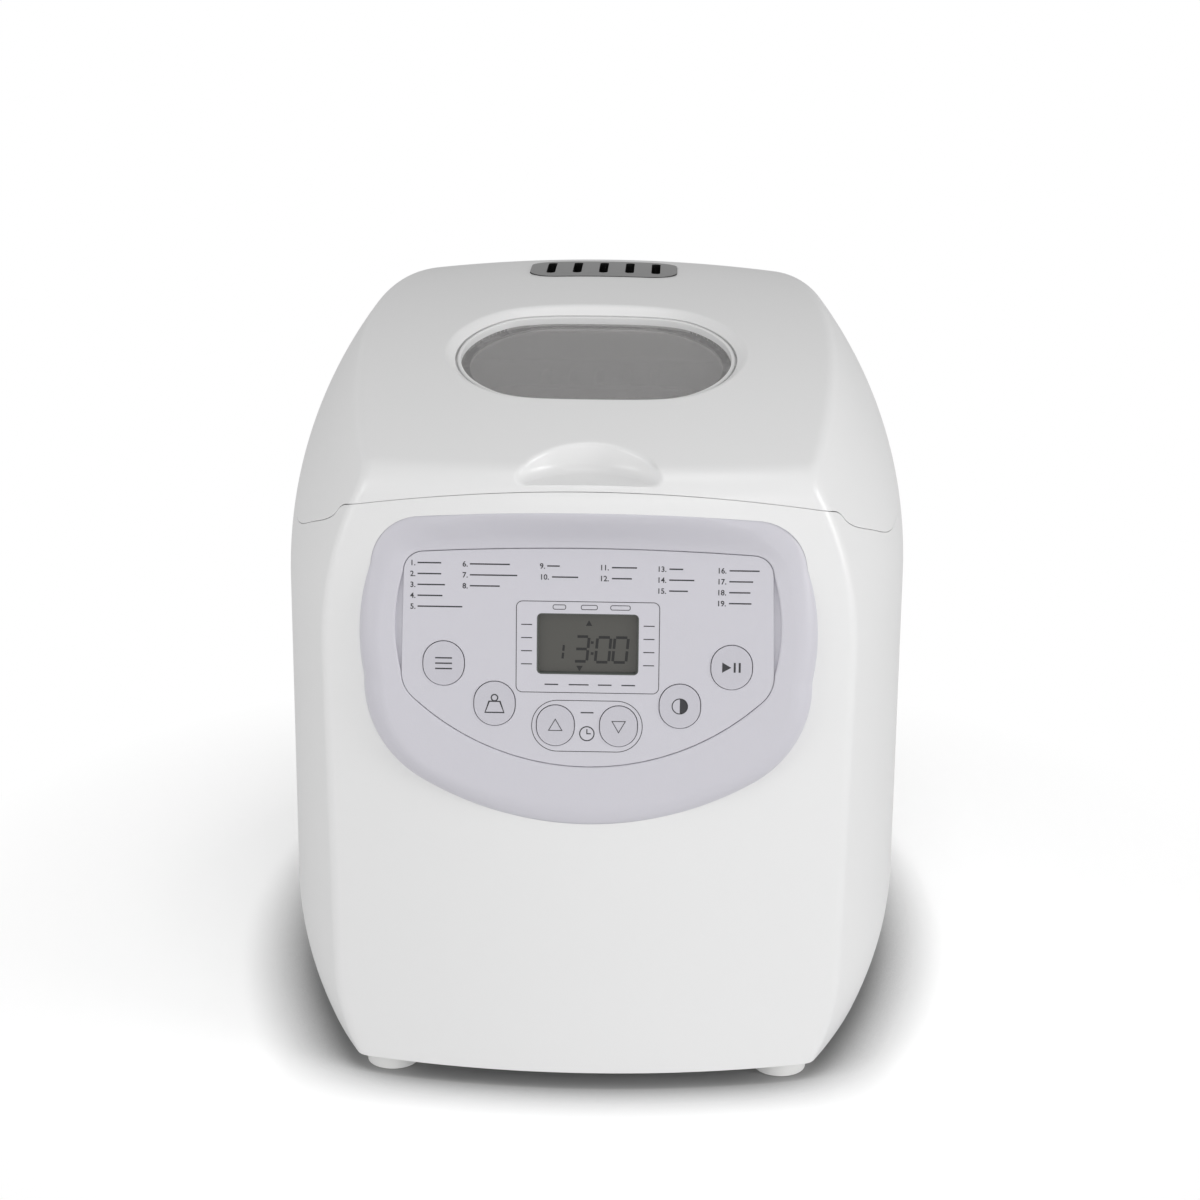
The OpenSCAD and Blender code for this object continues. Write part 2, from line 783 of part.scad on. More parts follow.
module oven_chamber() {
  color(STEEL) translate([0, oven_y, 0]) difference() {
    union() {
      translate([0, 0, oven_z]) {
        rounded_block(oven_w + 2 * sheet, oven_d + 2 * sheet, flange_z - oven_z, oven_r + sheet);
      }
      translate([0, 0, deck_z]) {
        rounded_block(oven_w + 2 * flange, oven_d + 2 * flange, sheet, oven_r + flange);
      }
    }
    translate([0, 0, oven_z + sheet]) rounded_block(oven_w, oven_d, FAR, oven_r);
    translate([0, 0, oven_z - 1]) cylinder(r = sleeve_r, h = 5, $fn = FN);
    for (s = [-1, 1]) {
      translate([s * terminal_x, oven_d / 2 - 2, heater_z]) rotate([-90, 0, 0]) {
        cylinder(r = heater_r + 3, h = 6, $fn = FN);
      }
    }
    translate([oven_w / 2 - 2, 30, oven_z + 60]) rotate([0, 90, 0]) cylinder(r = 3, h = 6, $fn = FN);
  }
  // Hooks that carry the heater along the walls
  color(STEEL) for (s = [-1, 1]) {
    translate([s * (oven_w / 2 - 1.6), oven_y, heater_z - heater_r - 1.5]) {
      cube([3.4, 5, 1.5], center = true);
    }
    translate([s * (heater_half[0] - 0.5), oven_y, heater_z - heater_r - 0.8]) {
      cube([9, 5, 1.5], center = true);
    }
  }
}

module chamber_posts() {
  color(STEEL) translate([0, oven_y, base_top]) at_sides(post_x, post_y) {
    cylinder(r = 5, h = oven_z - base_top, $fn = FN);
  }
}

module heater_rod(p, dir, len) {
  translate([p[0], p[1], 0]) rotate([0, 90, dir]) cylinder(r = heater_r, h = len, $fn = FN);
}

module heater_arc(p, r, from) {
  translate([p[0], p[1], 0]) rotate([0, 0, from]) rotate_extrude(angle = 90, $fn = FN) {
    translate([r, 0]) circle(heater_r, $fn = FN);
  }
}

module heater_element() {
  hx = heater_half[0];
  hy = heater_half[1];
  b = heater_bend;
  t = terminal_bend;
  color([0.30, 0.29, 0.29]) translate([0, oven_y, heater_z]) {
    heater_rod([b - hx, -hy], 0, 2 * (hx - b));
    for (s = [0, 1]) mirror([s, 0, 0]) {
      heater_arc([hx - b, b - hy], b, -90);
      heater_rod([hx, b - hy], 90, 2 * (hy - b));
      heater_arc([hx - b, hy - b], b, 0);
      heater_rod([terminal_x + t, hy], 0, hx - b - terminal_x - t);
      heater_arc([terminal_x + t, hy + t], t, 180);
      heater_rod([terminal_x, hy + t], 90, oven_d / 2 - hy - t + 20);
    }
  }
}

module heater_bushes() {
  color([0.92, 0.90, 0.84]) for (s = [-1, 1]) {
    translate([s * terminal_x, oven_y + oven_d / 2, heater_z]) rotate([-90, 0, 0]) {
      tube(heater_r + 3, heater_r, 9);
      translate([0, 0, sheet]) tube(heater_r + 5, heater_r, 3);
    }
  }
}

module temperature_probe() {
  color(STEEL) translate([oven_w / 2, oven_y + 30, oven_z + 60]) rotate([0, 90, 0]) {
    translate([0, 0, -5]) cylinder(r = 3, h = 18, $fn = FN);
    translate([0, 0, sheet]) cylinder(r = 7, h = 2, $fn = FN);
  }
}

module thermal_fuse() {
  color(BRASS) translate([-oven_w / 2 - sheet - 6, oven_y - 10, oven_z + 70]) cube([6, 20, 10]);
}

module heat_shield() {
  y = oven_y + oven_d / 2 + 9;
  top = deck_z - deck_t;
  color(STEEL) difference() {
    union() {
      translate([-90, y, heater_z - 20]) cube([180, 0.8, top - heater_z + 20]);
      translate([-90, y, top - 0.8]) cube([180, 14, 0.8]);
    }
    for (s = [-1, 1]) {
      translate([s * terminal_x, y - 2, heater_z]) rotate([-90, 0, 0]) cylinder(r = 7, h = 6, $fn = FN);
    }
  }
}

module pan_clips() {
  x = pan_ring_r + 0.35;
  color(STEEL) for (s = [0, 1]) mirror([s, 0, 0]) translate([0, oven_y, oven_z + sheet]) {
    translate([x, -7, 0]) cube([12, 14, 1]);
    translate([x, -7, 0]) cube([1.2, 14, 13]);
    translate([x, -7, 13]) rotate([0, 30, 0]) cube([1.2, 14, 5]);
  }
}

// ---- Drive ----

module drive_base() {
  color([0.60, 0.61, 0.62]) translate([0, oven_y, 0]) difference() {
    union() {
      translate([0, 0, sleeve_z]) cylinder(r = sleeve_r, h = sleeve_top - sleeve_z, $fn = FN);
      translate([0, 0, oven_z - 6]) cylinder(r = 40, h = 6, $fn = FN);
      for (a = [0:60:300]) {
        rotate([0, 0, a]) translate([8, -1.5, oven_z - 14]) cube([24, 3, 10]);
      }
    }
    translate([0, 0, sleeve_z - 1]) cylinder(r = bush_r, h = sleeve_top - sleeve_z + 2, $fn = FN);
  }
}

module shaft_bushes() {
  color(BRASS) translate([0, oven_y, 0]) {
    translate([0, 0, sleeve_z]) tube(bush_r, shaft_r, bush_h);
    translate([0, 0, sleeve_top - bush_h]) tube(bush_r, shaft_r, bush_h);
  }
}

module drive_shaft() {
  color(STEEL) translate([0, oven_y, pulley_z - 1]) {
    cylinder(r = shaft_r, h = coupling_z + 4 - pulley_z + 1, $fn = FN);
  }
}

module drive_coupling() {
  color([0.60, 0.61, 0.62]) translate([0, oven_y, coupling_z]) {
    tube(13, shaft_r, 4);
    for (s = [-1, 1]) translate([s * 10.75 - 2.25, -4, 4 - EPS]) cube([4.5, 8, 6.5]);
  }
}

module large_pulley() {
  color(BLACK) translate([0, oven_y, pulley_z]) difference() {
    union() {
      cylinder(r = big_pulley_r, h = pulley_h, $fn = FN);
      for (z = [0, pulley_h - 1]) translate([0, 0, z]) cylinder(r = big_pulley_r + 3, h = 1, $fn = FN);
      cylinder(r = 10, h = pulley_h + 2, $fn = FN);
    }
    translate([0, 0, -1]) cylinder(r = shaft_r, h = pulley_h + 4, $fn = FN);
    for (a = [0:60:300]) {
      rotate([0, 0, a]) translate([big_pulley_r * 0.6, 0, -1]) cylinder(r = 7, h = pulley_h + 2, $fn = FN);
    }
  }
}

// Outline of the belt path, grown by g over the pulleys
module belt_2d(g) {
  big = [0, oven_y];
  small = [motor_x, motor_y];
  r1 = big_pulley_r + g;
  r2 = small_pulley_r + g;
  way = small - big;
  dir = atan2(way[1], way[0]);
  turn = acos((r1 - r2) / norm(way));
  polygon(concat(arc(big, r1, dir + turn, dir + 360 - turn, 60), arc(small, r2, dir - turn, dir + turn, 24)));
}

module drive_belt() {
  color(BLACK) translate([0, 0, pulley_z + (pulley_h - belt_h) / 2]) linear_extrude(belt_h) difference() {
    belt_2d(belt_gap + belt_t);
    belt_2d(belt_gap);
  }
}

// ---- Motor ----

module motor_bracket() {
  color(STEEL) translate([motor_x, motor_y, 0]) {
    difference() {
      translate([0, 0, bracket_z]) rounded_block(2 * leg_x + 8, 2 * leg_y + 8, bracket_t, 4);
      translate([0, 0, bracket_z - 1]) cylinder(r = 14, h = bracket_t + 2, $fn = FN);
    }
    at_sides(leg_x, leg_y) translate([0, 0, base_top]) cylinder(r = 4, h = bracket_z - base_top + EPS, $fn = FN);
  }
}

module motor_mounts() {
  color(BLACK) translate([motor_x, motor_y, bracket_z + bracket_t]) at_sides(20, 20) {
    cylinder(r = 5, h = mount_h, $fn = FN);
  }
}

module motor() {
  color([0.55, 0.56, 0.58]) translate([motor_x, motor_y, motor_z]) difference() {
    cylinder(r = motor_r, h = motor_h, $fn = FN);
    translate([0, 0, 5]) cylinder(r = motor_r - 12, h = motor_h - 10, $fn = FN);
    translate([0, 0, -1]) cylinder(r = shaft_r + 0.3, h = motor_h + 2, $fn = FN);
    for (a = [0:45:315]) {
      rotate([0, 0, a]) translate([motor_r - 6, 0, -1]) cylinder(r = 2.5, h = motor_h + 2, $fn = FN);
    }
  }
}

module motor_shaft() {
  color(STEEL) translate([motor_x, motor_y, 0]) {
    translate([0, 0, pulley_z - 1]) cylinder(r = shaft_r, h = motor_z + motor_h - pulley_z + 5, $fn = FN);
    translate([0, 0, motor_z + 8]) cylinder(r = motor_r - 13.5, h = motor_h - 16, $fn = FN);
  }
}

module small_pulley() {
  color(BLACK) translate([motor_x, motor_y, pulley_z]) difference() {
    union() {
      cylinder(r = small_pulley_r, h = pulley_h, $fn = FN);
      for (z = [0, pulley_h - 1]) translate([0, 0, z]) cylinder(r = small_pulley_r + 3, h = 1, $fn = FN);
    }
    translate([0, 0, -1]) cylinder(r = shaft_r, h = pulley_h + 2, $fn = FN);
  }
}

module motor_capacitor() {
  color(WHITE) translate([capacitor_x, capacitor_y, base_top]) {
    cylinder(r = capacitor_r, h = oven_z - base_top - 7, $fn = FN);
  }
}

module power_pcb() {
  color(GREEN) translate([power_x, power_y, power_z]) rounded_block(power_w, power_d, pcb_t, 3);
}

module relay() {
  color([0.15, 0.30, 0.62]) translate([power_x - 32, power_y - 18, power_z + pcb_t]) cube(relay_size);
}

module transformer() {
  color([0.62, 0.52, 0.20]) translate([power_x - 4, power_y - 16, power_z + pcb_t]) cube(transformer_size);
}

// ---- Lid ----

module lid_boss_at() {
  translate([0, oven_y, 0]) at_sides(lid_boss[0], lid_boss[1]) children();
}

module lid_shell() {
  bottom = seam_z + seam_gap;
  web_y = back_y(hinge_x, seam_z) - hinge_y;
  color(WHITE) difference() {
    union() {
      difference() {
        union() {
          blank(0, bottom, body_h + 1);
        }
        below_seam(-seam_gap, deck_wall_y + 3);
        difference() {
          blank(lid_wall, bottom - 1, body_h);
          scoop(lid_wall);
          window_prism(-collar_w, -window_sink - collar_t, 9);
        }
        scoop(0);
        window_slope_cut();
        window_prism(0, -20, 20);
        vent_block(0, body_h - 30, body_h + 5);
      }
      intersection() {
        lid_boss_at() translate([0, 0, liner_z + 1]) cylinder(r = 5, h = 60, $fn = FN);
        blank(1, bottom, body_h);
      }
      at_hinges() {
        ear(knuckle, [[0, -hinge_r * 0.3], [hinge_r * 0.5, hinge_r * 0.6], [web_y - 1, 14],
          [web_y - lid_wall + 0.4, 14], [web_y - lid_wall + 0.4, 0]]);
      }
    }
    lid_boss_at() translate([0, 0, liner_z]) cylinder(r = pilot_r, h = 12, $fn = FN);
    at_hinges() along_x(hinge_pin_d / 2 + 0.15, hinge_len + 2);
  }
}

module lid_liner() {
  color(STEEL) difference() {
    translate([0, oven_y, liner_z]) {
      rounded_block(oven_w + 2 * flange, oven_d + 2 * flange - 1, sheet, oven_r + flange);
      rounded_block(liner_w + 2 * sheet, liner_d + 2 * sheet, liner_rise + sheet, liner_r + sheet);
    }
    translate([0, oven_y, liner_z - 1]) rounded_block(liner_w, liner_d, liner_rise + 1, liner_r);
    translate([0, window_y, liner_z]) rounded_block(inner_window[0], inner_window[1], FAR, 30);
    for (x = [-24:12:24]) {
      translate([x, oven_y + 0.31 * liner_d, liner_z]) rounded_block(4, liner_slot, FAR, 1.9);
    }
    lid_boss_at() translate([0, 0, liner_z - 1]) cylinder(r = screw_r, h = 4, $fn = FN);
  }
}

module lid_seal() {
  color([0.85, 0.84, 0.80]) translate([0, oven_y, flange_z + 0.4]) difference() {
    rounded_block(oven_w + 12, oven_d + 12, liner_z - flange_z - 0.4, oven_r + 5);
    translate([0, 0, -1]) rounded_block(oven_w + 4, oven_d + 4, 10, oven_r + 1);
  }
}

module lid_screws() {
  color(STEEL) lid_boss_at() translate([0, 0, liner_z]) {
    translate([0, 0, -1.6]) cylinder(r = 3, h = 1.6, $fn = FN);
    cylinder(r = screw_r, h = 10, $fn = FN);
  }
}

module window_ring() {
  color(WHITE) difference() {
    union() {
      window_prism(ring_gap, -ring_bottom, -window_sink);
      window_prism(-ring_flange, -ring_bottom, -window_sink - collar_t);
    }
    window_prism(ring_gap + ring_t, -glass_drop - glass_t - gasket_t, 0);
    window_prism(ring_gap + ring_t + ring_ledge, -ring_bottom - 1, 0);
  }
}

module window_gasket() {
  color(BLACK) difference() {
    window_prism(ring_gap + ring_t, -glass_drop - glass_t - gasket_t, -glass_drop - glass_t);
    window_prism(ring_gap + ring_t + ring_ledge, -ring_bottom, 0);
  }
}

module outer_glass() {
  color([0.55, 0.55, 0.56, 0.6]) window_prism(ring_gap + ring_t, -glass_drop - glass_t, -glass_drop);
}

module inner_glass() {
  color([0.60, 0.60, 0.60, 0.6]) translate([0, window_y, liner_z + liner_rise + sheet]) {
    rounded_block(inner_window[0] + 8, inner_window[1] + 8, glass_t, 34);
  }
}

module vent_grille() {
  color([0.53, 0.53, 0.53]) difference() {
    union() {
      intersection() {
        vent_block(-0.15, body_h - 30, body_h + 5);
        blank(-0.6, seam_z, body_h + 3);
      }
      intersection() {
        vent_block(3, body_h - 30, body_h + 5);
        blank(lid_wall, seam_z, body_h + 1);
      }
    }
    blank(lid_wall + 1.2, seam_z - 1, body_h + 1);
    for (i = [0:vent_slots - 1]) {
      translate([(i - (vent_slots - 1) / 2) * slot_pitch, vent_y, body_h - 30]) {
        rounded_block(slot_w, slot_len, 40, slot_w / 2 - EPS);
      }
    }
  }
}

// ---- Pan ----

module bread_pan() {
  color([0.32, 0.32, 0.33]) translate([0, oven_y, 0]) difference() {
    union() {
      translate([0, 0, pan_z]) rounded_block(pan_w, pan_d, pan_h, pan_r);
      translate([0, 0, pan_top - 2]) {
        rounded_block(pan_w + 2 * rim_out, pan_d + 2 * rim_out, 2, pan_r + rim_out);
      }
      for (s = [-1, 1]) translate([s * (pan_w / 2 + 1), 0, pan_top + 3]) cube([3, 10, 8], center = true);
    }
    translate([0, 0, pan_z + pan_wall]) {
      rounded_block(pan_w - 2 * pan_wall, pan_d - 2 * pan_wall, FAR, pan_r - pan_wall);
    }
    translate([0, 0, pan_z - 1]) cylinder(r = 8, h = 6, $fn = FN);
    translate([0, 0, handle_z]) along_x(1.6, pan_w + 20);
  }
}

module pan_ring() {
  z = oven_z + sheet + 0.3;
  color(STEEL) translate([0, oven_y, z]) tube(pan_ring_r, pan_ring_r - 3, pan_z - z);
}

module pan_bearing() {
  color(BRASS) translate([0, oven_y, pan_z - 2]) {
    tube(8, shaft_r, 10);
    tube(13, shaft_r, 2);
  }
}

module pan_handle() {
  color(STEEL) translate([0, oven_y, handle_z]) {
    for (s = [-1, 1]) {
      translate([s * (handle_x + 3.5), 0, 0]) along_x(1.6, 13);
      translate([s * handle_x, 0, 0]) rotate([-90, 0, 0]) cylinder(r = handle_r, h = handle_y, $fn = FN);
      translate([s * handle_x, 0, 0]) sphere(handle_r, $fn = FN);
      translate([s * handle_x, handle_y, 0]) sphere(handle_r, $fn = FN);
    }
    translate([0, handle_y, 0]) along_x(handle_r, 2 * handle_x);
    translate([0, handle_y, 0]) along_x(3.6, 70);
  }
}

module pan_shaft() {
  low = coupling_z + 5;
  color(STEEL) translate([0, oven_y, low]) {
    cylinder(r = shaft_r, h = pan_z + 27 - low, $fn = FN);
    translate([-3, -13, 0]) cube([6, 26, 6]);
  }
}

module kneading_paddle() {
  hub_z = pan_z + 8.5;
  color([0.28, 0.28, 0.29]) translate([0, oven_y, hub_z]) difference() {
    union() {
      cylinder(r = 7.5, h = 18, $fn = FN);
      rotate([90, 0, 0]) translate([0, 0, -2]) linear_extrude(4) {
        intersection() {
          translate([9, -4]) square([29, 20]);
          translate([12, -12]) circle(28, $fn = FN);
        }
        square([12, 14]);
      }
    }
    translate([0, 0, -1]) cylinder(r = shaft_r, h = 19.5, $fn = FN);
  }
}

body_shell();
base_plate();
top_deck();
feet();
base_screws();
hinge_pins();
cord_gland();
control_bezel();
control_overlay();
lcd_lens();
lcd_module();
control_pcb();
tact_switches();
panel_screws();
oven_chamber();
chamber_posts();
heater_element();
heater_bushes();
temperature_probe();
thermal_fuse();
heat_shield();
pan_clips();
drive_base();
shaft_bushes();
motor_bracket();
motor_mounts();
motor();
motor_capacitor();
power_pcb();
relay();
transformer();
drive_belt();
drive_shaft();
drive_coupling();
large_pulley();
motor_shaft();
small_pulley();
lid_shell();
lid_liner();
lid_seal();
lid_screws();
window_ring();
outer_glass();
window_gasket();
inner_glass();
vent_grille();
menu_button();
weight_button();
timer_up_button();
timer_down_button();
crust_button();
start_button();
bread_pan();
pan_ring();
pan_bearing();
pan_handle();
pan_shaft();
kneading_paddle();
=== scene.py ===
import json
import math
import bpy
import numpy as np
from mathutils import Matrix, Vector


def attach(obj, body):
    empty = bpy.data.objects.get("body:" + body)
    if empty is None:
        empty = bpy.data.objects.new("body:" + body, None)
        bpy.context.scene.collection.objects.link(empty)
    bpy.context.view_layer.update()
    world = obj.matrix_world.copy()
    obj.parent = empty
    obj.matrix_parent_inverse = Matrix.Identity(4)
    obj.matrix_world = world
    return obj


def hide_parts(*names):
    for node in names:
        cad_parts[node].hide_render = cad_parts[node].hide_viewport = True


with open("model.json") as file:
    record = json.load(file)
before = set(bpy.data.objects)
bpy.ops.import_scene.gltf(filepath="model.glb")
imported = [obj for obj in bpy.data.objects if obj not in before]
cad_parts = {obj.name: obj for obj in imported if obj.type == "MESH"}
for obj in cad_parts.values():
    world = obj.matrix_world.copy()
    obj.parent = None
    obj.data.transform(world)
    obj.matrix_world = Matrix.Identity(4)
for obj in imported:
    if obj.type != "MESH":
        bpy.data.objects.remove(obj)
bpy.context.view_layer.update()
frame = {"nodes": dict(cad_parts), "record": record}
nodes = frame["nodes"]

# ---- Camera, floor and light, in metres and degrees ----

CAMERA_PLACE = (0.0345, -1.285, 0.602)
CAMERA_TURN = (19.0, -1.5, -0.4)  # pitch down, yaw, roll
LENS, SENSOR = 90, 36
# Place, target, size and power of each lamp
LAMPS = {
    "left_box": ((-2.2, -1.6, 0.6), (0, -0.1, 0.13), (1.4, 1.4), 16),
    "right_box": ((2.6, -1.2, 0.55), (0, -0.1, 0.13), (1.4, 1.4), 31),
    "low_box": ((0.2, -1.5, 0.12), (0, -0.1, 0.1), (1.2, 0.5), 2.4),
    "top_box": ((0.2, -0.9, 2.3), (0, 0, 0.1), (1.2, 1.2), 7),
}
ROOM_LIGHT = 0.5
FLOOR_SIZE = 12
FLOOR_PLACE = (0, 2, -0.0004)
PAPER = 0.86
# Painted shadow on the floor: reach of the ambient occlusion and the colours it maps to
SHADE_REACH = 0.035
SHADE_FROM, SHADE_DARK, SHADE_LIGHT = 0.45, 0.42, 1.4
FADE_FROM, FADE_TO = 0.2, 0.34


def aim_camera():
    pitch, yaw, roll = (math.radians(turn) for turn in CAMERA_TURN)
    level = math.cos(pitch)
    ahead = Vector((math.sin(yaw) * level, math.cos(yaw) * level, -math.sin(pitch)))
    right = Vector((math.cos(yaw), -math.sin(yaw), 0))
    down = ahead.cross(right)
    turned = math.cos(roll) * right + math.sin(roll) * down
    down = math.cos(roll) * down - math.sin(roll) * right
    data = bpy.data.cameras.new("studio_camera")
    data.lens = LENS
    data.sensor_width = SENSOR
    data.clip_end = 50
    camera = bpy.data.objects.new("studio_camera", data)
    bpy.context.scene.collection.objects.link(camera)
    turn = Matrix((turned, -down, -ahead)).transposed().to_4x4()
    camera.matrix_world = Matrix.Translation(CAMERA_PLACE) @ turn
    bpy.context.scene.camera = camera


def soft_box(name, place, target, size, power):
    data = bpy.data.lights.new(name, "AREA")
    data.shape = "RECTANGLE"
    data.size, data.size_y = size
    data.energy = power
    lamp = bpy.data.objects.new(name, data)
    bpy.context.scene.collection.objects.link(lamp)
    lamp.location = place
    lamp.rotation_euler = (Vector(target) - Vector(place)).to_track_quat("-Z", "Y").to_euler()


def light_studio():
    bpy.context.scene.view_settings.view_transform = "Standard"
    for name, setting in LAMPS.items():
        soft_box(name, *setting)
    world = bpy.data.worlds.new("studio_world")
    bpy.context.scene.world = world
    world.use_nodes = True
    tree = world.node_tree
    tree.nodes.clear()
    out = tree.nodes.new("ShaderNodeOutputWorld")
    path = tree.nodes.new("ShaderNodeLightPath")
    seen = tree.nodes.new("ShaderNodeMath")
    seen.operation = "MAXIMUM"
    dim = tree.nodes.new("ShaderNodeBackground")
    dim.inputs["Color"].default_value = (1, 1, 1, 1)
    dim.inputs["Strength"].default_value = ROOM_LIGHT
    white = tree.nodes.new("ShaderNodeBackground")
    white.inputs["Color"].default_value = (1, 1, 1, 1)
    white.inputs["Strength"].default_value = 1.0
    mix = tree.nodes.new("ShaderNodeMixShader")
    tree.links.new(path.outputs["Is Camera Ray"], seen.inputs[0])
    tree.links.new(path.outputs["Is Transmission Ray"], seen.inputs[1])
    tree.links.new(seen.outputs[0], mix.inputs["Fac"])
    tree.links.new(dim.outputs[0], mix.inputs[1])
    tree.links.new(white.outputs[0], mix.inputs[2])
    tree.links.new(mix.outputs[0], out.inputs["Surface"])


def lay_floor():
    bpy.ops.object.select_all(action="DESELECT")
    bpy.ops.mesh.primitive_plane_add(size=FLOOR_SIZE, location=FLOOR_PLACE)
    floor = bpy.context.object
    floor.name = "studio_floor"
    material = bpy.data.materials.new("studio_floor")
    material.use_nodes = True
    tree = material.node_tree
    tree.nodes.clear()
    out = tree.nodes.new("ShaderNodeOutputMaterial")
    paper = tree.nodes.new("ShaderNodeBsdfDiffuse")
    paper.inputs["Color"].default_value = (PAPER, PAPER, PAPER, 1)
    # Seen by the camera, the floor gets a painted shadow close to the object, its colour darkened by ambient
    # occlusion, and fades to plain white far away
    near = tree.nodes.new("ShaderNodeAmbientOcclusion")
    near.inputs["Distance"].default_value = SHADE_REACH
    shade = tree.nodes.new("ShaderNodeMapRange")
    shade.inputs["From Min"].default_value = SHADE_FROM
    shade.inputs["To Min"].default_value = SHADE_DARK
    shade.inputs["To Max"].default_value = SHADE_LIGHT
    bright = tree.nodes.new("ShaderNodeBsdfDiffuse")
    plain = tree.nodes.new("ShaderNodeEmission")
    place = tree.nodes.new("ShaderNodeNewGeometry")
    far = tree.nodes.new("ShaderNodeVectorMath")
    far.operation = "LENGTH"
    fade = tree.nodes.new("ShaderNodeMapRange")
    fade.inputs["From Min"].default_value = FADE_FROM
    fade.inputs["From Max"].default_value = FADE_TO
    seen = tree.nodes.new("ShaderNodeMixShader")
    path = tree.nodes.new("ShaderNodeLightPath")
    pick = tree.nodes.new("ShaderNodeMixShader")
    tree.links.new(near.outputs["AO"], shade.inputs["Value"])
    tree.links.new(shade.outputs["Result"], bright.inputs["Color"])
    tree.links.new(place.outputs["Position"], far.inputs[0])
    tree.links.new(far.outputs["Value"], fade.inputs["Value"])
    tree.links.new(fade.outputs["Result"], seen.inputs["Fac"])
    tree.links.new(bright.outputs[0], seen.inputs[1])
    tree.links.new(plain.outputs[0], seen.inputs[2])
    tree.links.new(path.outputs["Is Camera Ray"], pick.inputs["Fac"])
    tree.links.new(paper.outputs[0], pick.inputs[1])
    tree.links.new(seen.outputs[0], pick.inputs[2])
    tree.links.new(pick.outputs[0], out.inputs["Surface"])
    floor.data.materials.append(material)


# ---- Shared surface effects ----


def new_group(name, inputs, outputs):
    group = bpy.data.node_groups.new(name, "ShaderNodeTree")
    for label, kind, value in inputs:
        socket = group.interface.new_socket(label, in_out="INPUT", socket_type=kind)
        socket.default_value = value
    for label, kind in outputs:
        group.interface.new_socket(label, in_out="OUTPUT", socket_type=kind)
    return group, group.nodes.new("NodeGroupInput"), group.nodes.new("NodeGroupOutput")


def moulded_grain():
    """Fine pebble of a moulded skin, with slow waves of shrinkage under it."""
    group, ins, outs = new_group(
        "moulded_grain",
        [("Grain Size", "NodeSocketFloat", 900.0), ("Wave Size", "NodeSocketFloat", 14.0),
         ("Wave Share", "NodeSocketFloat", 0.3)],
        [("Height", "NodeSocketFloat"), ("Cloud", "NodeSocketFloat")],
    )
    where = group.nodes.new("ShaderNodeTexCoord")
    fine = group.nodes.new("ShaderNodeTexNoise")
    fine.inputs["Detail"].default_value = 2.0
    wave = group.nodes.new("ShaderNodeTexNoise")
    wave.inputs["Detail"].default_value = 1.0
    both = group.nodes.new("ShaderNodeMix")
    link = group.links.new
    link(where.outputs["Object"], fine.inputs["Vector"])
    link(where.outputs["Object"], wave.inputs["Vector"])
    link(ins.outputs["Grain Size"], fine.inputs["Scale"])
    link(ins.outputs["Wave Size"], wave.inputs["Scale"])
    link(ins.outputs["Wave Share"], both.inputs["Factor"])
    link(fine.outputs["Fac"], both.inputs["A"])
    link(wave.outputs["Fac"], both.inputs["B"])
    link(both.outputs["Result"], outs.inputs["Height"])
    link(wave.outputs["Fac"], outs.inputs["Cloud"])
    return group


def brushed_lines():
    """Drawn lines of rolled sheet along one direction."""
    group, ins, outs = new_group(
        "brushed_lines",
        [("Stretch", "NodeSocketVector", (4.0, 60.0, 900.0)), ("Scale", "NodeSocketFloat", 1.0)],
        [("Height", "NodeSocketFloat"), ("Stain", "NodeSocketFloat")],
    )
    where = group.nodes.new("ShaderNodeTexCoord")
    pull = group.nodes.new("ShaderNodeVectorMath")
    pull.operation = "MULTIPLY"
    lines = group.nodes.new("ShaderNodeTexNoise")
    lines.inputs["Detail"].default_value = 3.0
    stain = group.nodes.new("ShaderNodeTexNoise")
    stain.inputs["Scale"].default_value = 22.0
    link = group.links.new
    link(where.outputs["Object"], pull.inputs[0])
    link(ins.outputs["Stretch"], pull.inputs[1])
    link(pull.outputs[0], lines.inputs["Vector"])
    link(ins.outputs["Scale"], lines.inputs["Scale"])
    link(where.outputs["Object"], stain.inputs["Vector"])
    link(lines.outputs["Fac"], outs.inputs["Height"])
    link(stain.outputs["Fac"], outs.inputs["Stain"])
    return group


GRAIN = moulded_grain()
BRUSHED = brushed_lines()


def mixed(tree, factor, low, high):
    mix = tree.nodes.new("ShaderNodeMix")
    mix.data_type = "RGBA"
    mix.inputs["A"].default_value = (*low, 1)
    mix.inputs["B"].default_value = (*high, 1)
    tree.links.new(factor, mix.inputs["Factor"])
    return mix.outputs["Result"]


def start_material(name):
    material = bpy.data.materials.new(name)
    material.use_nodes = True
    tree = material.node_tree
    return material, tree, tree.nodes["Principled BSDF"]


def vary_roughness(tree, skin, source, low, high):
    """Roughness between two values, following a pattern."""
    rough = tree.nodes.new("ShaderNodeMapRange")
    rough.inputs["To Min"].default_value = low
    rough.inputs["To Max"].default_value = high
    tree.links.new(source, rough.inputs["Value"])
    tree.links.new(rough.outputs["Result"], skin.inputs["Roughness"])


def raise_relief(tree, skin, source, strength, depth):
    """Bump following a pattern, depth in metres."""
    relief = tree.nodes.new("ShaderNodeBump")
    relief.inputs["Strength"].default_value = strength
    relief.inputs["Distance"].default_value = depth
    tree.links.new(source, relief.inputs["Height"])
    tree.links.new(relief.outputs["Normal"], skin.inputs["Normal"])


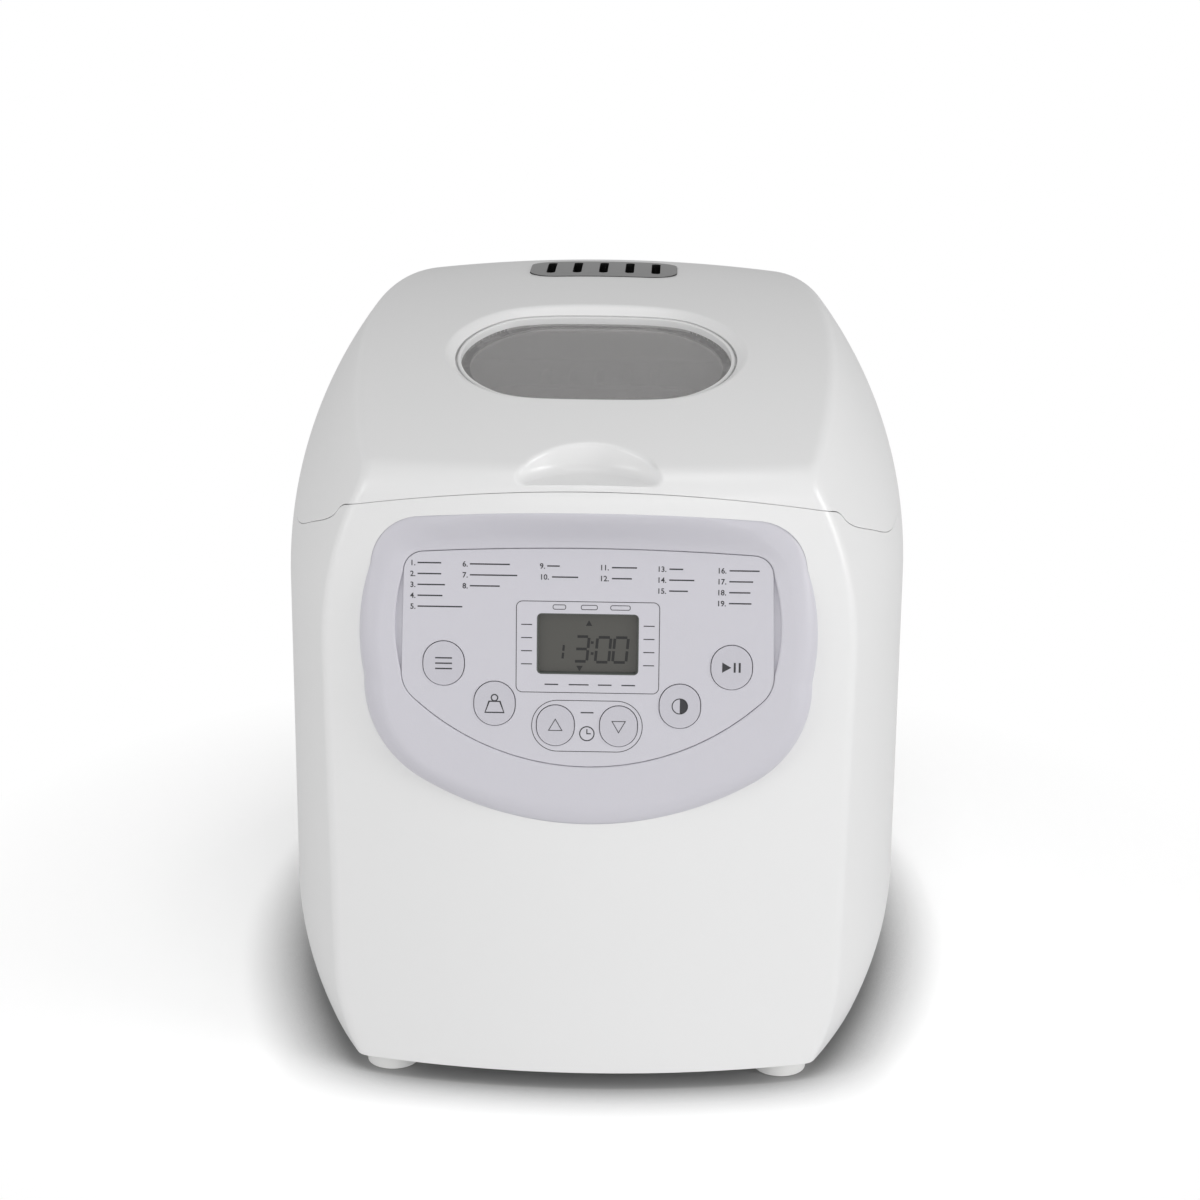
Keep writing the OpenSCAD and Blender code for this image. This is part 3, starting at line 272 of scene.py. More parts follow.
def moulded(name, colour, roughness, bump, size=900.0, wave=0.3, coat=0.0, spread=0.03, metal=0.0):
    """Moulded, cast or coated skin."""
    material, tree, skin = start_material(name)
    grain = tree.nodes.new("ShaderNodeGroup")
    grain.node_tree = GRAIN
    grain.inputs["Grain Size"].default_value = size
    grain.inputs["Wave Share"].default_value = wave
    low = [c * (1 - spread) for c in colour]
    high = [min(1, c * (1 + spread)) for c in colour]
    tree.links.new(mixed(tree, grain.outputs["Cloud"], low, high), skin.inputs["Base Color"])
    vary_roughness(tree, skin, grain.outputs["Cloud"], roughness * 0.85, roughness * 1.15)
    raise_relief(tree, skin, grain.outputs["Height"], bump, 0.0002)
    skin.inputs["Metallic"].default_value = metal
    if coat:
        skin.inputs["Coat Weight"].default_value = coat
        skin.inputs["Coat Roughness"].default_value = 0.2
    return material


def sheet_metal(name, colour, roughness, stretch=(4.0, 60.0, 900.0), bump=0.1):
    """Rolled, drawn or turned metal."""
    material, tree, skin = start_material(name)
    lines = tree.nodes.new("ShaderNodeGroup")
    lines.node_tree = BRUSHED
    lines.inputs["Stretch"].default_value = stretch
    stained = mixed(tree, lines.outputs["Stain"], [c * 0.88 for c in colour], colour)
    tree.links.new(stained, skin.inputs["Base Color"])
    vary_roughness(tree, skin, lines.outputs["Height"], roughness * 0.75, roughness * 1.3)
    raise_relief(tree, skin, lines.outputs["Height"], bump, 0.0001)
    skin.inputs["Metallic"].default_value = 1.0
    return material


def smoky_glass(name):
    material, tree, skin = start_material(name)
    grain = tree.nodes.new("ShaderNodeGroup")
    grain.node_tree = GRAIN
    grain.inputs["Wave Size"].default_value = 9.0
    grain.inputs["Wave Share"].default_value = 1.0
    smoke = mixed(tree, grain.outputs["Cloud"], (0.64, 0.63, 0.63), (0.74, 0.73, 0.72))
    tree.links.new(smoke, skin.inputs["Base Color"])
    skin.inputs["Roughness"].default_value = 0.05
    skin.inputs["IOR"].default_value = 1.5
    skin.inputs["Transmission Weight"].default_value = 0.75
    return material


def vent_plastic_with_painted_shade(name):
    """Grey plastic with painted shade: near black on faces that stand upright in the world.

    With the lid shut those are the walls of the slots, painted dark for the shade inside them; with it open
    the whole plate turns dark.
    """
    material = moulded(name, (0.25, 0.25, 0.25), 0.45, 0.2)
    tree = material.node_tree
    skin = tree.nodes["Principled BSDF"]
    face = tree.nodes.new("ShaderNodeNewGeometry")
    parts = tree.nodes.new("ShaderNodeSeparateXYZ")
    flat = tree.nodes.new("ShaderNodeMapRange")
    flat.inputs["From Min"].default_value = 0.5
    flat.inputs["From Max"].default_value = 0.85
    # Painted shade: near black mixed in on upright faces, the walls of the slots
    shade = tree.nodes.new("ShaderNodeMix")
    shade.data_type = "RGBA"
    shade.inputs["A"].default_value = (0.012, 0.012, 0.012, 1)
    tree.links.new(face.outputs["Normal"], parts.inputs[0])
    tree.links.new(parts.outputs["Z"], flat.inputs["Value"])
    tree.links.new(flat.outputs["Result"], shade.inputs["Factor"])
    tree.links.new(skin.inputs["Base Color"].links[0].from_socket, shade.inputs["B"])
    tree.links.new(shade.outputs["Result"], skin.inputs["Base Color"])
    return material


FINISHES = {
    "housing_white": moulded(
        "gloss_white_plastic", (0.84, 0.84, 0.84), 0.3, 0.06, wave=0.0, coat=0.2, spread=0.003),
    "panel_lilac": moulded("satin_lilac_plastic", (0.62, 0.61, 0.66), 0.42, 0.25, size=1400.0, spread=0.015),
    "base_steel": sheet_metal("galvanised_sheet", (0.55, 0.56, 0.57), 0.45, (30, 30, 30), 0.2),
    "foot_white": moulded("pale_rubber", (0.80, 0.80, 0.79), 0.5, 0.3, size=1200.0, spread=0.02),
    "foot_rubber": moulded("black_rubber", (0.035, 0.035, 0.036), 0.75, 0.5, size=1200.0),
    "screw_steel": sheet_metal("plated_steel", (0.66, 0.66, 0.67), 0.25, (300, 300, 300)),
    "black_plastic": moulded("black_nylon", (0.025, 0.025, 0.028), 0.5, 0.35),
    "belt_rubber": moulded("belt_rubber", (0.02, 0.02, 0.02), 0.7, 0.5),
    "lcd_glass": moulded("display_face", (0.07, 0.068, 0.06), 0.35, 0.02, spread=0.03),
    "key_lilac": moulded("key_lilac_plastic", (0.57, 0.56, 0.61), 0.4, 0.25, size=1400.0, spread=0.015),
    "panel_ink": moulded("panel_ink", (0.035, 0.035, 0.04), 0.5, 0.1, size=1400.0),
    "segment_ink": moulded("segment_ink", (0.006, 0.006, 0.006), 0.4, 0.05),
    "lcd_frame": moulded("display_case", (0.10, 0.11, 0.10), 0.5, 0.2),
    "board_green": moulded("solder_mask", (0.02, 0.12, 0.05), 0.35, 0.3, size=700.0),
    "chamber_steel": sheet_metal("chamber_sheet", (0.50, 0.51, 0.52), 0.32),
    "heater_sheath": moulded("heater_oxide", (0.10, 0.085, 0.075), 0.55, 0.3, metal=0.7),
    "white_ceramic": moulded("ceramic_bush", (0.78, 0.75, 0.66), 0.6, 0.4),
    "bronze": sheet_metal("sintered_bronze", (0.55, 0.38, 0.16), 0.4, (400, 400, 400), 0.3),
    "cast_alloy": moulded("cast_alloy", (0.46, 0.47, 0.48), 0.45, 0.5, size=500.0, metal=0.9),
    "motor_core": moulded("varnished_core", (0.20, 0.21, 0.23), 0.35, 0.3, metal=0.5),
    "capacitor_white": moulded("capacitor_can", (0.70, 0.70, 0.67), 0.4, 0.1),
    "relay_blue": moulded("relay_case", (0.02, 0.07, 0.30), 0.3, 0.1),
    "winding_amber": moulded("winding_tape", (0.42, 0.24, 0.03), 0.4, 0.3),
    "seal_silicone": moulded("silicone_seal", (0.62, 0.60, 0.54), 0.55, 0.2),
    "window_glass": smoky_glass("smoky_glass"),
    "vent_grey": vent_plastic_with_painted_shade("vent_grey_painted_shade"),
    "pan_coating": moulded("nonstick_coating", (0.03, 0.03, 0.032), 0.38, 0.6, size=1600.0),
}


def dress_frame():
    """Gives each CAD node the finish of its slot; the keys are a shade darker than the panel."""
    for part in frame["record"]["subparts"]:
        body = nodes[part["node"]].data
        body.materials.clear()
        slot = "key_lilac" if part["node"].endswith("_button") else part["material_slot"]
        body.materials.append(FINISHES[slot])


# ---- Shape of the housing, in mm ----

MM = 0.001
HALF_WIDTH = 136
FRONT_Y, REAR_Y = -165, 165
BASE_Z, TOP_Z = 7, 300
LEAN = math.radians(2.5)
FRONT_BOW, SIDE_BOW, REAR_BOW = 364, 370, 700
SHOULDER_Z, SHOULDER_R = 185, 176
TUCK_Z, TUCK_R = 45, 100
DOME_Y, DOME_ALONG, DOME_ACROSS = 25, 445, 700
FRONT_CREASE, REAR_CREASE, SIDE_CREASE = 9, 6, 2.5
SCOOP_Y, SCOOP_Z, SCOOP_R, SCOOP_ROUND, SCOOP_CREASE = -165.1, 263.5, 28.4, 4, 1.5
SEAM, SEAM_TOP = 235.0, 257.0
SEAM_GAP = 0.12
ARCH_R, ARCH_HALF = 451, 94
# S-bend from the arch down to the side seam: two arcs of one radius, met half-way
BEND_R, BEND_REACH = 12.4, 10.74
BEND_FIRST_X, BEND_FIRST_Z, BEND_MIDDLE_X, BEND_LAST_X = 91.4, 234.97, 102.14, 112.88
# Dip of the side seam, as it runs back from the front corner and rises again
SIDE_DIP, DIP_X = 18.0, 100
DIP_FRONT, DIP_FALL, DIP_REAR, DIP_RISE = -135, 70, 112, 80
LID_EYE = np.array([0.0, 10.0, 235.0])
WALL, LID_WALL = 3, 2.6
RAY = 260


def larger(a, b, k):
    """Larger of two fields, with the crease between them rounded over the width k."""
    return np.maximum(a, b) + np.maximum(k - np.abs(a - b), 0) ** 2 / (4 * k)


def dome_field(p):
    across = np.hypot(p[..., 0], p[..., 2] - (TOP_Z - DOME_ACROSS)) - (DOME_ACROSS - DOME_ALONG)
    return np.hypot(across, p[..., 1] - DOME_Y) - DOME_ALONG


def front_field(p):
    back = (p[..., 1] - FRONT_Y) * math.cos(LEAN) - (p[..., 2] - BASE_Z) * math.sin(LEAN)
    return np.hypot(p[..., 0], back - FRONT_BOW) - FRONT_BOW


def housing_field(p):
    """Distance outside the housing: bowed sides, bulged leaning faces and a dome."""
    x, y, z = p[..., 0], p[..., 1], p[..., 2]
    reach = np.hypot(np.abs(x) + (SIDE_BOW - HALF_WIDTH), y)
    shoulder = np.hypot(reach - (SIDE_BOW - SHOULDER_R), z - SHOULDER_Z) - SHOULDER_R
    tuck = np.hypot(reach - (SIDE_BOW - TUCK_R), z - TUCK_Z) - TUCK_R
    sides = np.where(z > SHOULDER_Z, shoulder, np.where(z < TUCK_Z, tuck, reach - SIDE_BOW))
    front_to_back = (y - REAR_Y) * math.cos(LEAN) + (z - BASE_Z) * math.sin(LEAN)
    rear = np.hypot(x, front_to_back + REAR_BOW) - REAR_BOW
    faces = larger(front_field(p), dome_field(p), FRONT_CREASE)
    return larger(faces, larger(sides, rear, REAR_CREASE), SIDE_CREASE)


def scoop_field(p):
    """Finger scoop: a round-bottomed pocket in the lid's front edge."""
    across = np.hypot(p[..., 0], p[..., 1] - SCOOP_Y) - SCOOP_R
    under = SCOOP_Z - p[..., 2]
    outside = np.hypot(np.maximum(across, 0), np.maximum(under, 0))
    return outside + np.minimum(np.maximum(across, under), 0) - SCOOP_ROUND


def lid_field(p):
    return larger(housing_field(p), -scoop_field(p), SCOOP_CREASE)


def seam_height(x, y):
    """Height of the seam: an arch over the front, an S-bend, and the dipping side seam."""
    far = np.abs(x)
    arch = SEAM_TOP - ARCH_R + np.sqrt(ARCH_R ** 2 - np.minimum(far, ARCH_HALF) ** 2)

    def arc(run):
        return np.sqrt(np.maximum(BEND_R ** 2 - np.clip(run, 0, BEND_REACH) ** 2, 0))
    first = BEND_FIRST_Z + arc(far - BEND_FIRST_X)
    last = SEAM + BEND_R - arc(BEND_LAST_X - far)
    bend_down = np.where(far < BEND_MIDDLE_X, first, np.where(far < BEND_LAST_X, last, SEAM))
    height = np.where(far < ARCH_HALF, arch, bend_down)
    fall = np.clip((y - DIP_FRONT) / DIP_FALL, 0, 1)
    rise = np.clip((DIP_REAR - y) / DIP_RISE, 0, 1)
    dip = SIDE_DIP * fall ** 2 * (3 - 2 * fall) * rise ** 2 * (3 - 2 * rise)
    return np.where(y < 0, height, SEAM) - dip * (far > DIP_X)


def solve_along(field, start, way, reach, steps=28):
    """Distance along way at which the field turns positive."""
    low, high = np.zeros(way.shape[:-1]), np.full(way.shape[:-1], float(reach))
    for _ in range(steps):
        middle = (low + high) / 2
        inside = field(start + way * middle[..., None]) < 0
        low, high = np.where(inside, middle, low), np.where(inside, high, middle)
    return (low + high) / 2


def slope_of(field, p, step=0.02):
    """Unit outward direction of a field at each point."""
    way = np.stack([field(p + axis) - field(p - axis) for axis in np.eye(3) * step], -1)
    return way / np.maximum(np.linalg.norm(way, axis=-1, keepdims=True), 1e-9)


def spaced_turns(count, crowded):
    """Directions round the housing, closer together near the crowded ones: (degrees, width, weight)."""
    turn = np.linspace(-270, 90, 14401)
    weight = np.ones_like(turn)
    for centre, width, share in crowded:
        gap = (turn - centre + 180) % 360 - 180
        weight += share * np.exp(-(gap / width) ** 2)
    run = np.concatenate([[0], np.cumsum((weight[1:] + weight[:-1]) / 2)])
    return np.radians(np.interp(np.linspace(0, run[-1], count + 1), run, turn))


# ---- Making meshes ----


def activate(piece):
    bpy.ops.object.select_all(action="DESELECT")
    piece.select_set(True)
    bpy.context.view_layer.objects.active = piece


def edit(piece, *steps):
    """Runs edit-mode steps on the whole of a piece."""
    activate(piece)
    bpy.ops.object.mode_set(mode="EDIT")
    bpy.ops.mesh.select_all(action="SELECT")
    for step in steps:
        step()
    bpy.ops.object.mode_set(mode="OBJECT")


def weld():
    bpy.ops.mesh.remove_doubles(threshold=2e-7)


def face_out():
    bpy.ops.mesh.normals_make_consistent(inside=False)


def laid_grid(name, points):
    """A grid primitive laid over rows and columns of points in mm; ends that meet are welded."""
    rows, columns = points.shape[:2]
    bpy.ops.object.select_all(action="DESELECT")
    bpy.ops.mesh.primitive_grid_add(x_subdivisions=columns - 1, y_subdivisions=rows - 1, size=1)
    piece = bpy.context.object
    piece.name = piece.data.name = name
    piece.data.vertices.foreach_set("co", (points * MM).astype(np.float32).ravel())
    piece.data.update()
    edit(piece, weld)
    return piece


def closed_loft(name, loops):
    """Loops of points, each closed, joined to the next and the last to the first."""
    loops = np.concatenate([loops, loops[:1]], 0)
    loops = np.concatenate([loops, loops[:, :1]], 1)
    piece = laid_grid(name, loops)
    edit(piece, face_out)
    return piece


def apply_modifier(piece, kind, **settings):
    activate(piece)
    modifier = piece.modifiers.new(kind.lower(), kind)
    for key, value in settings.items():
        setattr(modifier, key, value)
    bpy.ops.object.modifier_apply(modifier=modifier.name)


def cut(piece, tool):
    apply_modifier(piece, "BOOLEAN", object=tool, operation="DIFFERENCE", solver="EXACT")
    bpy.data.objects.remove(tool, do_unlink=True)


def join(pieces):
    bpy.ops.object.select_all(action="DESELECT")
    for piece in pieces:
        piece.select_set(True)
    bpy.context.view_layer.objects.active = pieces[0]
    if len(pieces) > 1:
        bpy.ops.object.join()
    return pieces[0]


def block_over(name, outline, place, low, high):
    """A cylinder primitive pulled out to a flat outline, between two levels of a placed frame."""
    count = len(outline)
    bpy.ops.object.select_all(action="DESELECT")
    bpy.ops.mesh.primitive_cylinder_add(vertices=count, radius=1, depth=2)
    piece = bpy.context.object
    piece.name = piece.data.name = name
    spot = np.empty(count * 6)
    piece.data.vertices.foreach_get("co", spot)
    spot = spot.reshape(-1, 3)
    turn = np.rint(np.arctan2(spot[:, 1], spot[:, 0]) * count / math.tau).astype(int) % count
    flat = np.asarray(outline)[turn]
    level = np.where(spot[:, 2] > 0, high, low)
    spot = place(flat[:, 0], flat[:, 1], level) * MM
    piece.data.vertices.foreach_set("co", spot.astype(np.float32).ravel())
    piece.data.update()
    edit(piece, face_out)
    return piece


def smooth(piece, angle=30):
    activate(piece)
    bpy.ops.object.shade_smooth_by_angle(angle=math.radians(angle))


def follow_field(piece, field):
    """Corner normals taken from the field wherever a face lies on it."""
    mesh = piece.data
    spot = np.empty(len(mesh.vertices) * 3)
    mesh.vertices.foreach_get("co", spot)
    spot = spot.reshape(-1, 3) / MM
    way = slope_of(field, spot)
    near = np.abs(field(spot)) < 0.03
    corner = np.empty(len(mesh.loops), dtype=np.int32)
    mesh.loops.foreach_get("vertex_index", corner)
    normal = np.empty(len(mesh.loops) * 3)
    mesh.corner_normals.foreach_get("vector", normal)
    normal = normal.reshape(-1, 3)
    face = np.empty(len(mesh.polygons) * 3)
    mesh.polygons.foreach_get("normal", face)
    sizes = np.empty(len(mesh.polygons), dtype=np.int32)
    mesh.polygons.foreach_get("loop_total", sizes)
    face = np.repeat(face.reshape(-1, 3), sizes, 0)
    on = near[corner] & ((face * way[corner]).sum(1) > 0.8)
    normal[on] = way[corner][on]
    mesh.normals_split_custom_set(normal.tolist())


def finish_piece(piece, body, slot, *replaced):
    piece.data.materials.clear()
    piece.data.materials.append(FINISHES[slot])
    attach(piece, body)
    if replaced:
        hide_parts(*replaced)
    return piece


# ---- Placed frames and outlines, in mm ----


def upright(x, y):
    """A frame standing at (x, y), with its levels as heights."""
    def place(u, w, n):
        return np.stack(np.broadcast_arrays(u + x, w + y, n), -1).astype(float)
    return place


def through_back(x, z):
    """A frame on (x, z) with its levels along Y."""
    flat = upright(x, z)
    return lambda u, w, n: flat(u, w, n)[..., [0, 2, 1]]


def tilted(y, z, angle):
    """A frame at (0, y, z) turned back about X by an angle in radians: u right, w up it, n out of it."""
    def place(u, w, n):
        back = y + w * math.cos(angle) - n * math.sin(angle)
        height = z + w * math.sin(angle) + n * math.cos(angle)
        return np.stack(np.broadcast_arrays(u, back, height), -1)
    return place


PANEL_Z, PANEL_SINK = 188.0, 5.2
PANEL_Y = FRONT_Y + (PANEL_Z - BASE_Z) * math.tan(LEAN) + PANEL_SINK
PANEL_TURN = math.radians(82)
on_panel = tilted(PANEL_Y, PANEL_Z, PANEL_TURN)
WINDOW_Y = -56.6
WINDOW_Z = TOP_Z - DOME_ALONG + math.sqrt(DOME_ALONG ** 2 - (DOME_Y - WINDOW_Y) ** 2)
WINDOW_SLOPE = math.asin((DOME_Y - WINDOW_Y) / DOME_ALONG)
on_window = tilted(WINDOW_Y, WINDOW_Z, WINDOW_SLOPE)
WINDOW_END_R, WINDOW_END_X = 45.5, 14
WINDOW_ARC_R, WINDOW_ARC_Y, WINDOW_CREASE = 300, 256.5, 4


def bend(centre, radius, start, end, count=40):
    turn = np.radians(np.linspace(start, end, count))
    return np.stack([centre[0] + radius * np.cos(turn), centre[1] + radius * np.sin(turn)], -1)


def d_outline(half, up, down, top_r, top_in, top_drop, low_r, low_y):
    """D shape: an arched top, rounded corners and a deep bow below."""
    top_c = (half - top_in - top_r, up - top_drop - top_r)
    low_c = (half - low_r, low_y)
    cap_r = (top_c[0] ** 2 + (top_drop + top_r) ** 2 - top_r ** 2) / (2 * top_drop)
    sag = low_y + down
    bowl_r = (low_c[0] ** 2 + sag ** 2 - low_r ** 2) / (2 * (sag - low_r))
    cap_end = math.degrees(math.atan2(top_c[1] - up + cap_r, top_c[0]))
    bowl_end = math.degrees(math.atan2(low_c[1] - bowl_r + down, low_c[0]))
    side = (top_c[0] - low_c[0], top_c[1] - low_c[1])
    turn_out = math.degrees(math.atan2(side[1], side[0]) - math.acos((low_r - top_r) / math.hypot(*side)))
    right = np.concatenate([
        bend((0, up - cap_r), cap_r, 90, cap_end), bend(top_c, top_r, cap_end, turn_out),
        bend(low_c, low_r, turn_out, bowl_end), bend((0, bowl_r - down), bowl_r, bowl_end, -90)])
    return np.concatenate([right, right[-2:0:-1] * (-1, 1)])


BEZEL = {"half": 91, "up": 60, "down": 71, "top_r": 22, "top_in": 3, "top_drop": 3,
         "low_r": 45, "low_y": -14}
OVERLAY = {"half": 75, "up": 43.5, "down": 46, "top_r": 8, "top_in": 1, "top_drop": 2,
           "low_r": 14, "low_y": -7.8}


def grown_d(sizes, grow):
    """D outline of the given sizes, moved out all round."""
    moved = {key: sizes[key] + grow for key in ("half", "up", "down", "top_r", "low_r")}
    return d_outline(**{**sizes, **moved})


def even_turns(outline, count, centre=(0, -6)):
    """The outline's points at even directions from a centre inside it."""
    spot = outline - centre
    turn = np.unwrap(np.arctan2(spot[:, 1], spot[:, 0]))
    reach = np.hypot(spot[:, 0], spot[:, 1])
    order = np.argsort(turn)
    want = np.linspace(turn.min(), turn.min() + math.tau, count, endpoint=False)
    reach = np.interp(want, turn[order], reach[order], period=math.tau)
    return np.stack([reach * np.cos(want), reach * np.sin(want)], -1) + centre


def oval_gap(u, w):
    """Distance outside the window opening."""
    ends = np.hypot(np.maximum(np.abs(u) - WINDOW_END_X, 0), w) - WINDOW_END_R
    return larger(ends, np.hypot(u, np.abs(w) + WINDOW_ARC_Y) - WINDOW_ARC_R, WINDOW_CREASE)


def oval(grow, count=256):
    turn = np.linspace(0, math.tau, count, endpoint=False)
    way = np.stack([np.cos(turn), np.sin(turn)], -1)
    reach = solve_along(lambda p: oval_gap(p[..., 0], p[..., 1]) - grow, np.zeros(2), way, 120)
    return way * reach[:, None]


def round_slot(width, height, radius, count=48):
    """Rounded rectangle with evenly shared corner points."""
    corner = count // 4
    points = []
    for k, (sx, sy) in enumerate([(1, 1), (-1, 1), (-1, -1), (1, -1)]):
        for t in np.linspace(0, math.pi / 2, corner):
            a = t + k * math.pi / 2
            points.append((sx * (width / 2 - radius) + radius * math.cos(a),
                           sy * (height / 2 - radius) + radius * math.sin(a)))
    return np.array(points)


# ---- Housing and lid ----

RIM = 0.3
# Directions that crowd the grids, as (degrees, width, weight): the four corners, and the lid's scoop
BODY_CROWD = [(-54.5, 3.5, 5), (-125.5, 3.5, 5), (57, 3.5, 3), (123, 3.5, 3)]
LID_CROWD = [(-57.5, 3, 5), (-122.5, 3, 5), (57, 3.5, 3), (123, 3.5, 3),
             (-80, 2.5, 4), (-100, 2.5, 4), (-90, 9, 1.2)]
TURNS = 360
ROWS, ROWS_EASED, ROWS_EVEN = 56, 0.35, 0.65
SEAM_PASSES = 8
HINGE_Y, HINGE_Z, KNUCKLE_R = 160.5, 236, 4.5
EAR_X, HOUSING_EAR_SHIFT = 65, 9
HOUSING_EAR, LID_EAR = 8, 9
EAR_BACK = -8.48
# Webs of the ears, as (behind, above) the hinge line
HOUSING_WEB = [(EAR_BACK - 2.4, -16), (EAR_BACK + 1, -16), (3.6, -2.7), (0, 0), (EAR_BACK - 2.4, -1.6),
               (EAR_BACK - 2.4, -8), (EAR_BACK - 2.4, -10), (EAR_BACK - 2.4, -12)]
LID_WEB = [(0, -1.35), (2.25, 2.7), (EAR_BACK - 1, 14), (EAR_BACK - 2.2, 14), (EAR_BACK - 2.2, 10),
           (EAR_BACK - 2.2, 6), (EAR_BACK - 2.2, 3), (EAR_BACK - 2.2, 0)]
GLAND_X, GLAND_Z, GLAND_HOLE = -70, 32, 22.4
VENT_Y, VENT_HOLE = 63, (67, 46, 13)
SKIRT_LOW, SKIRT_HIGH, SKIRT_HALF_TURN = 206, 234.4, 44
SKIRT_OUTSIDE, SKIRT_INSIDE = 3.4, 5
FAN_LOW, FAN_HIGH = -9, 25
BLUR = 3
# Countersink round the window: its depth and slope at the opening, and how far its loops reach
SINK, SINK_SLOPE = -5.9, 0.92
SINK_LOOPS = (0, 0.3, 0.8, 1.6, 2.4, 3.2, 3.6, 4, 4.4, 4.8, 5.2, 5.6, 6.2, 7.2)
SINK_END = 7
PANEL_LAP, OVERLAY_GAP = 0.4, 0.3
# Crest of the bezel: over the housing's skin, but never lower than its least level
CREST_OVER, CREST_LEAST, CREST_ROUND = 0.3, 0.4, 3
# Rounded outer edge of the bezel: wide where the skin is low and narrow where it is high
EDGE_WIDE, EDGE_SHARE, EDGE_NARROW = 9, 0.6, 0.9
NARROW_FROM, NARROW_OVER = 2, 6
EDGE_FOOT, BEZEL_ROOT = 1.2, 3
SLOPE_EASED, SLOPE_EVEN = 0.7, 0.3
LIP_WIDTH, LIP_TOP = 0.6, 0.3
# Inner edge of the bezel, as (past the overlay's gap, level): a lip, a wall and a ledge
BEZEL_LIP = [(-0.25, 0.18), (0, -0.15), (0, -1.3), (4, -1.3), (4, -3.0), (-1, -3.0)]
UNDER_SHARE, UNDER_LEVEL, BEZEL_THICK = 0.6, -3, 5
# Section of the window ring, as (outside the opening, level), down past the glass to its ledge
RING_SECTION = [(-0.9, -8.4), (-0.9, -6.4), (-1.0, -6.1), (-1.3, -5.9), (-2.1, -5.9), (-2.4, -6.08),
                (-2.5, -6.4), (-2.5, -12.7), (-6, -12.7), (-6, -14.0), (3, -14.0), (3, -8.4)]


def rim_rows(row, field, up):
    """Rows that round an open edge inwards: up is 1 for a top edge and -1 for a bottom edge."""
    away = slope_of(field, row)
    away[..., 2] = 0
    away /= np.linalg.norm(away, axis=-1, keepdims=True)
    for angle in np.radians([22.5, 45, 67.5, 90]):
        yield row - away * RIM * (1 - math.cos(angle)) + np.array([0, 0, up * RIM * math.sin(angle)])


def point_out(piece, eye):
    """Turns the faces away from a point inside."""
    face = piece.data.polygons[len(piece.data.polygons) // 3]
    if (face.center - Vector(eye) * MM).dot(face.normal) < 0:
        edit(piece, bpy.ops.mesh.flip_normals)


def ear(name, x, length, web):
    """Hinge ear: a round knuckle on the hinge line with a web back to the wall."""
    bpy.ops.object.select_all(action="DESELECT")
    bpy.ops.mesh.primitive_cylinder_add(
        vertices=48, radius=KNUCKLE_R * MM, depth=length * MM,
        location=(x * MM, HINGE_Y * MM, HINGE_Z * MM), rotation=(0, math.pi / 2, 0))
    knuckle = bpy.context.object
    bpy.ops.object.transform_apply()

    def place(u, w, n):
        return np.stack(np.broadcast_arrays(n + x, u + HINGE_Y, w + HINGE_Z), -1)
    piece = join([knuckle, block_over(name, web, place, -length / 2, length / 2)])
    apply_modifier(piece, "BEVEL", width=0.0004, segments=2, limit_method="ANGLE")
    return piece


def mould_body():
    turns = spaced_turns(TURNS, BODY_CROWD)
    way = np.stack([np.cos(turns), np.sin(turns), np.zeros_like(turns)], -1)

    def ring(height):
        start = np.stack([0 * turns, 0 * turns, height + 0 * turns], -1)
        return start + way * solve_along(housing_field, start, way, RAY)[:, None]
    top = np.full_like(turns, SEAM)
    for _ in range(SEAM_PASSES):
        at = ring(top)
        top = seam_height(at[:, 0], at[:, 1])
    low, top = BASE_Z + RIM, top - RIM
    eased = (1 - np.cos(np.linspace(0, math.pi, ROWS))) / 2
    shares = eased * ROWS_EASED + np.linspace(0, 1, ROWS) * ROWS_EVEN
    rows = [ring(low + (top - low) * share) for share in shares]
    foot = list(rim_rows(rows[0], housing_field, -1))[::-1]
    rows = foot + rows + list(rim_rows(rows[-1], housing_field, 1))
    shell = laid_grid("housing_shell", np.array(rows))
    point_out(shell, (0, 0, 120))
    apply_modifier(shell, "SOLIDIFY", thickness=WALL * MM, offset=-1)
    cut(shell, block_over("panel_opening", even_turns(grown_d(BEZEL, -PANEL_LAP), 240), on_panel, -20, 40))
    gland = round_slot(GLAND_HOLE, GLAND_HOLE, GLAND_HOLE / 2)
    cut(shell, block_over("gland_opening", gland, through_back(GLAND_X, GLAND_Z), 140, 180))
    ears = [ear("housing_ear", side * EAR_X + shift, HOUSING_EAR, HOUSING_WEB)
            for side in (-1, 1) for shift in (-HOUSING_EAR_SHIFT, HOUSING_EAR_SHIFT)]
    shell = join([shell] + ears)
    smooth(shell)
    follow_field(shell, housing_field)
    finish_piece(shell, "housing", "housing_white", "body_shell")


def hang_deck_skirt():
    """Skirts of the deck, inside the housing walls, behind the dips of the side seam."""
    strips = []
    for middle in (0, 180):
        turns = np.radians(np.linspace(-SKIRT_HALF_TURN, SKIRT_HALF_TURN, 60) + middle)
        way = np.stack([np.cos(turns), np.sin(turns), 0 * turns], -1)
        start = np.stack([0 * turns, 0 * turns, SKIRT_HIGH + 0 * turns], -1)
        wall = start + way * solve_along(housing_field, start, way, RAY)[:, None]
        outline = np.concatenate([wall - way * SKIRT_OUTSIDE, (wall - way * SKIRT_INSIDE)[::-1]])
        strips.append(block_over("deck_skirt", outline[:, :2], upright(0, 0), SKIRT_LOW, SKIRT_HIGH))
    finish_piece(join(strips), "housing", "housing_white")


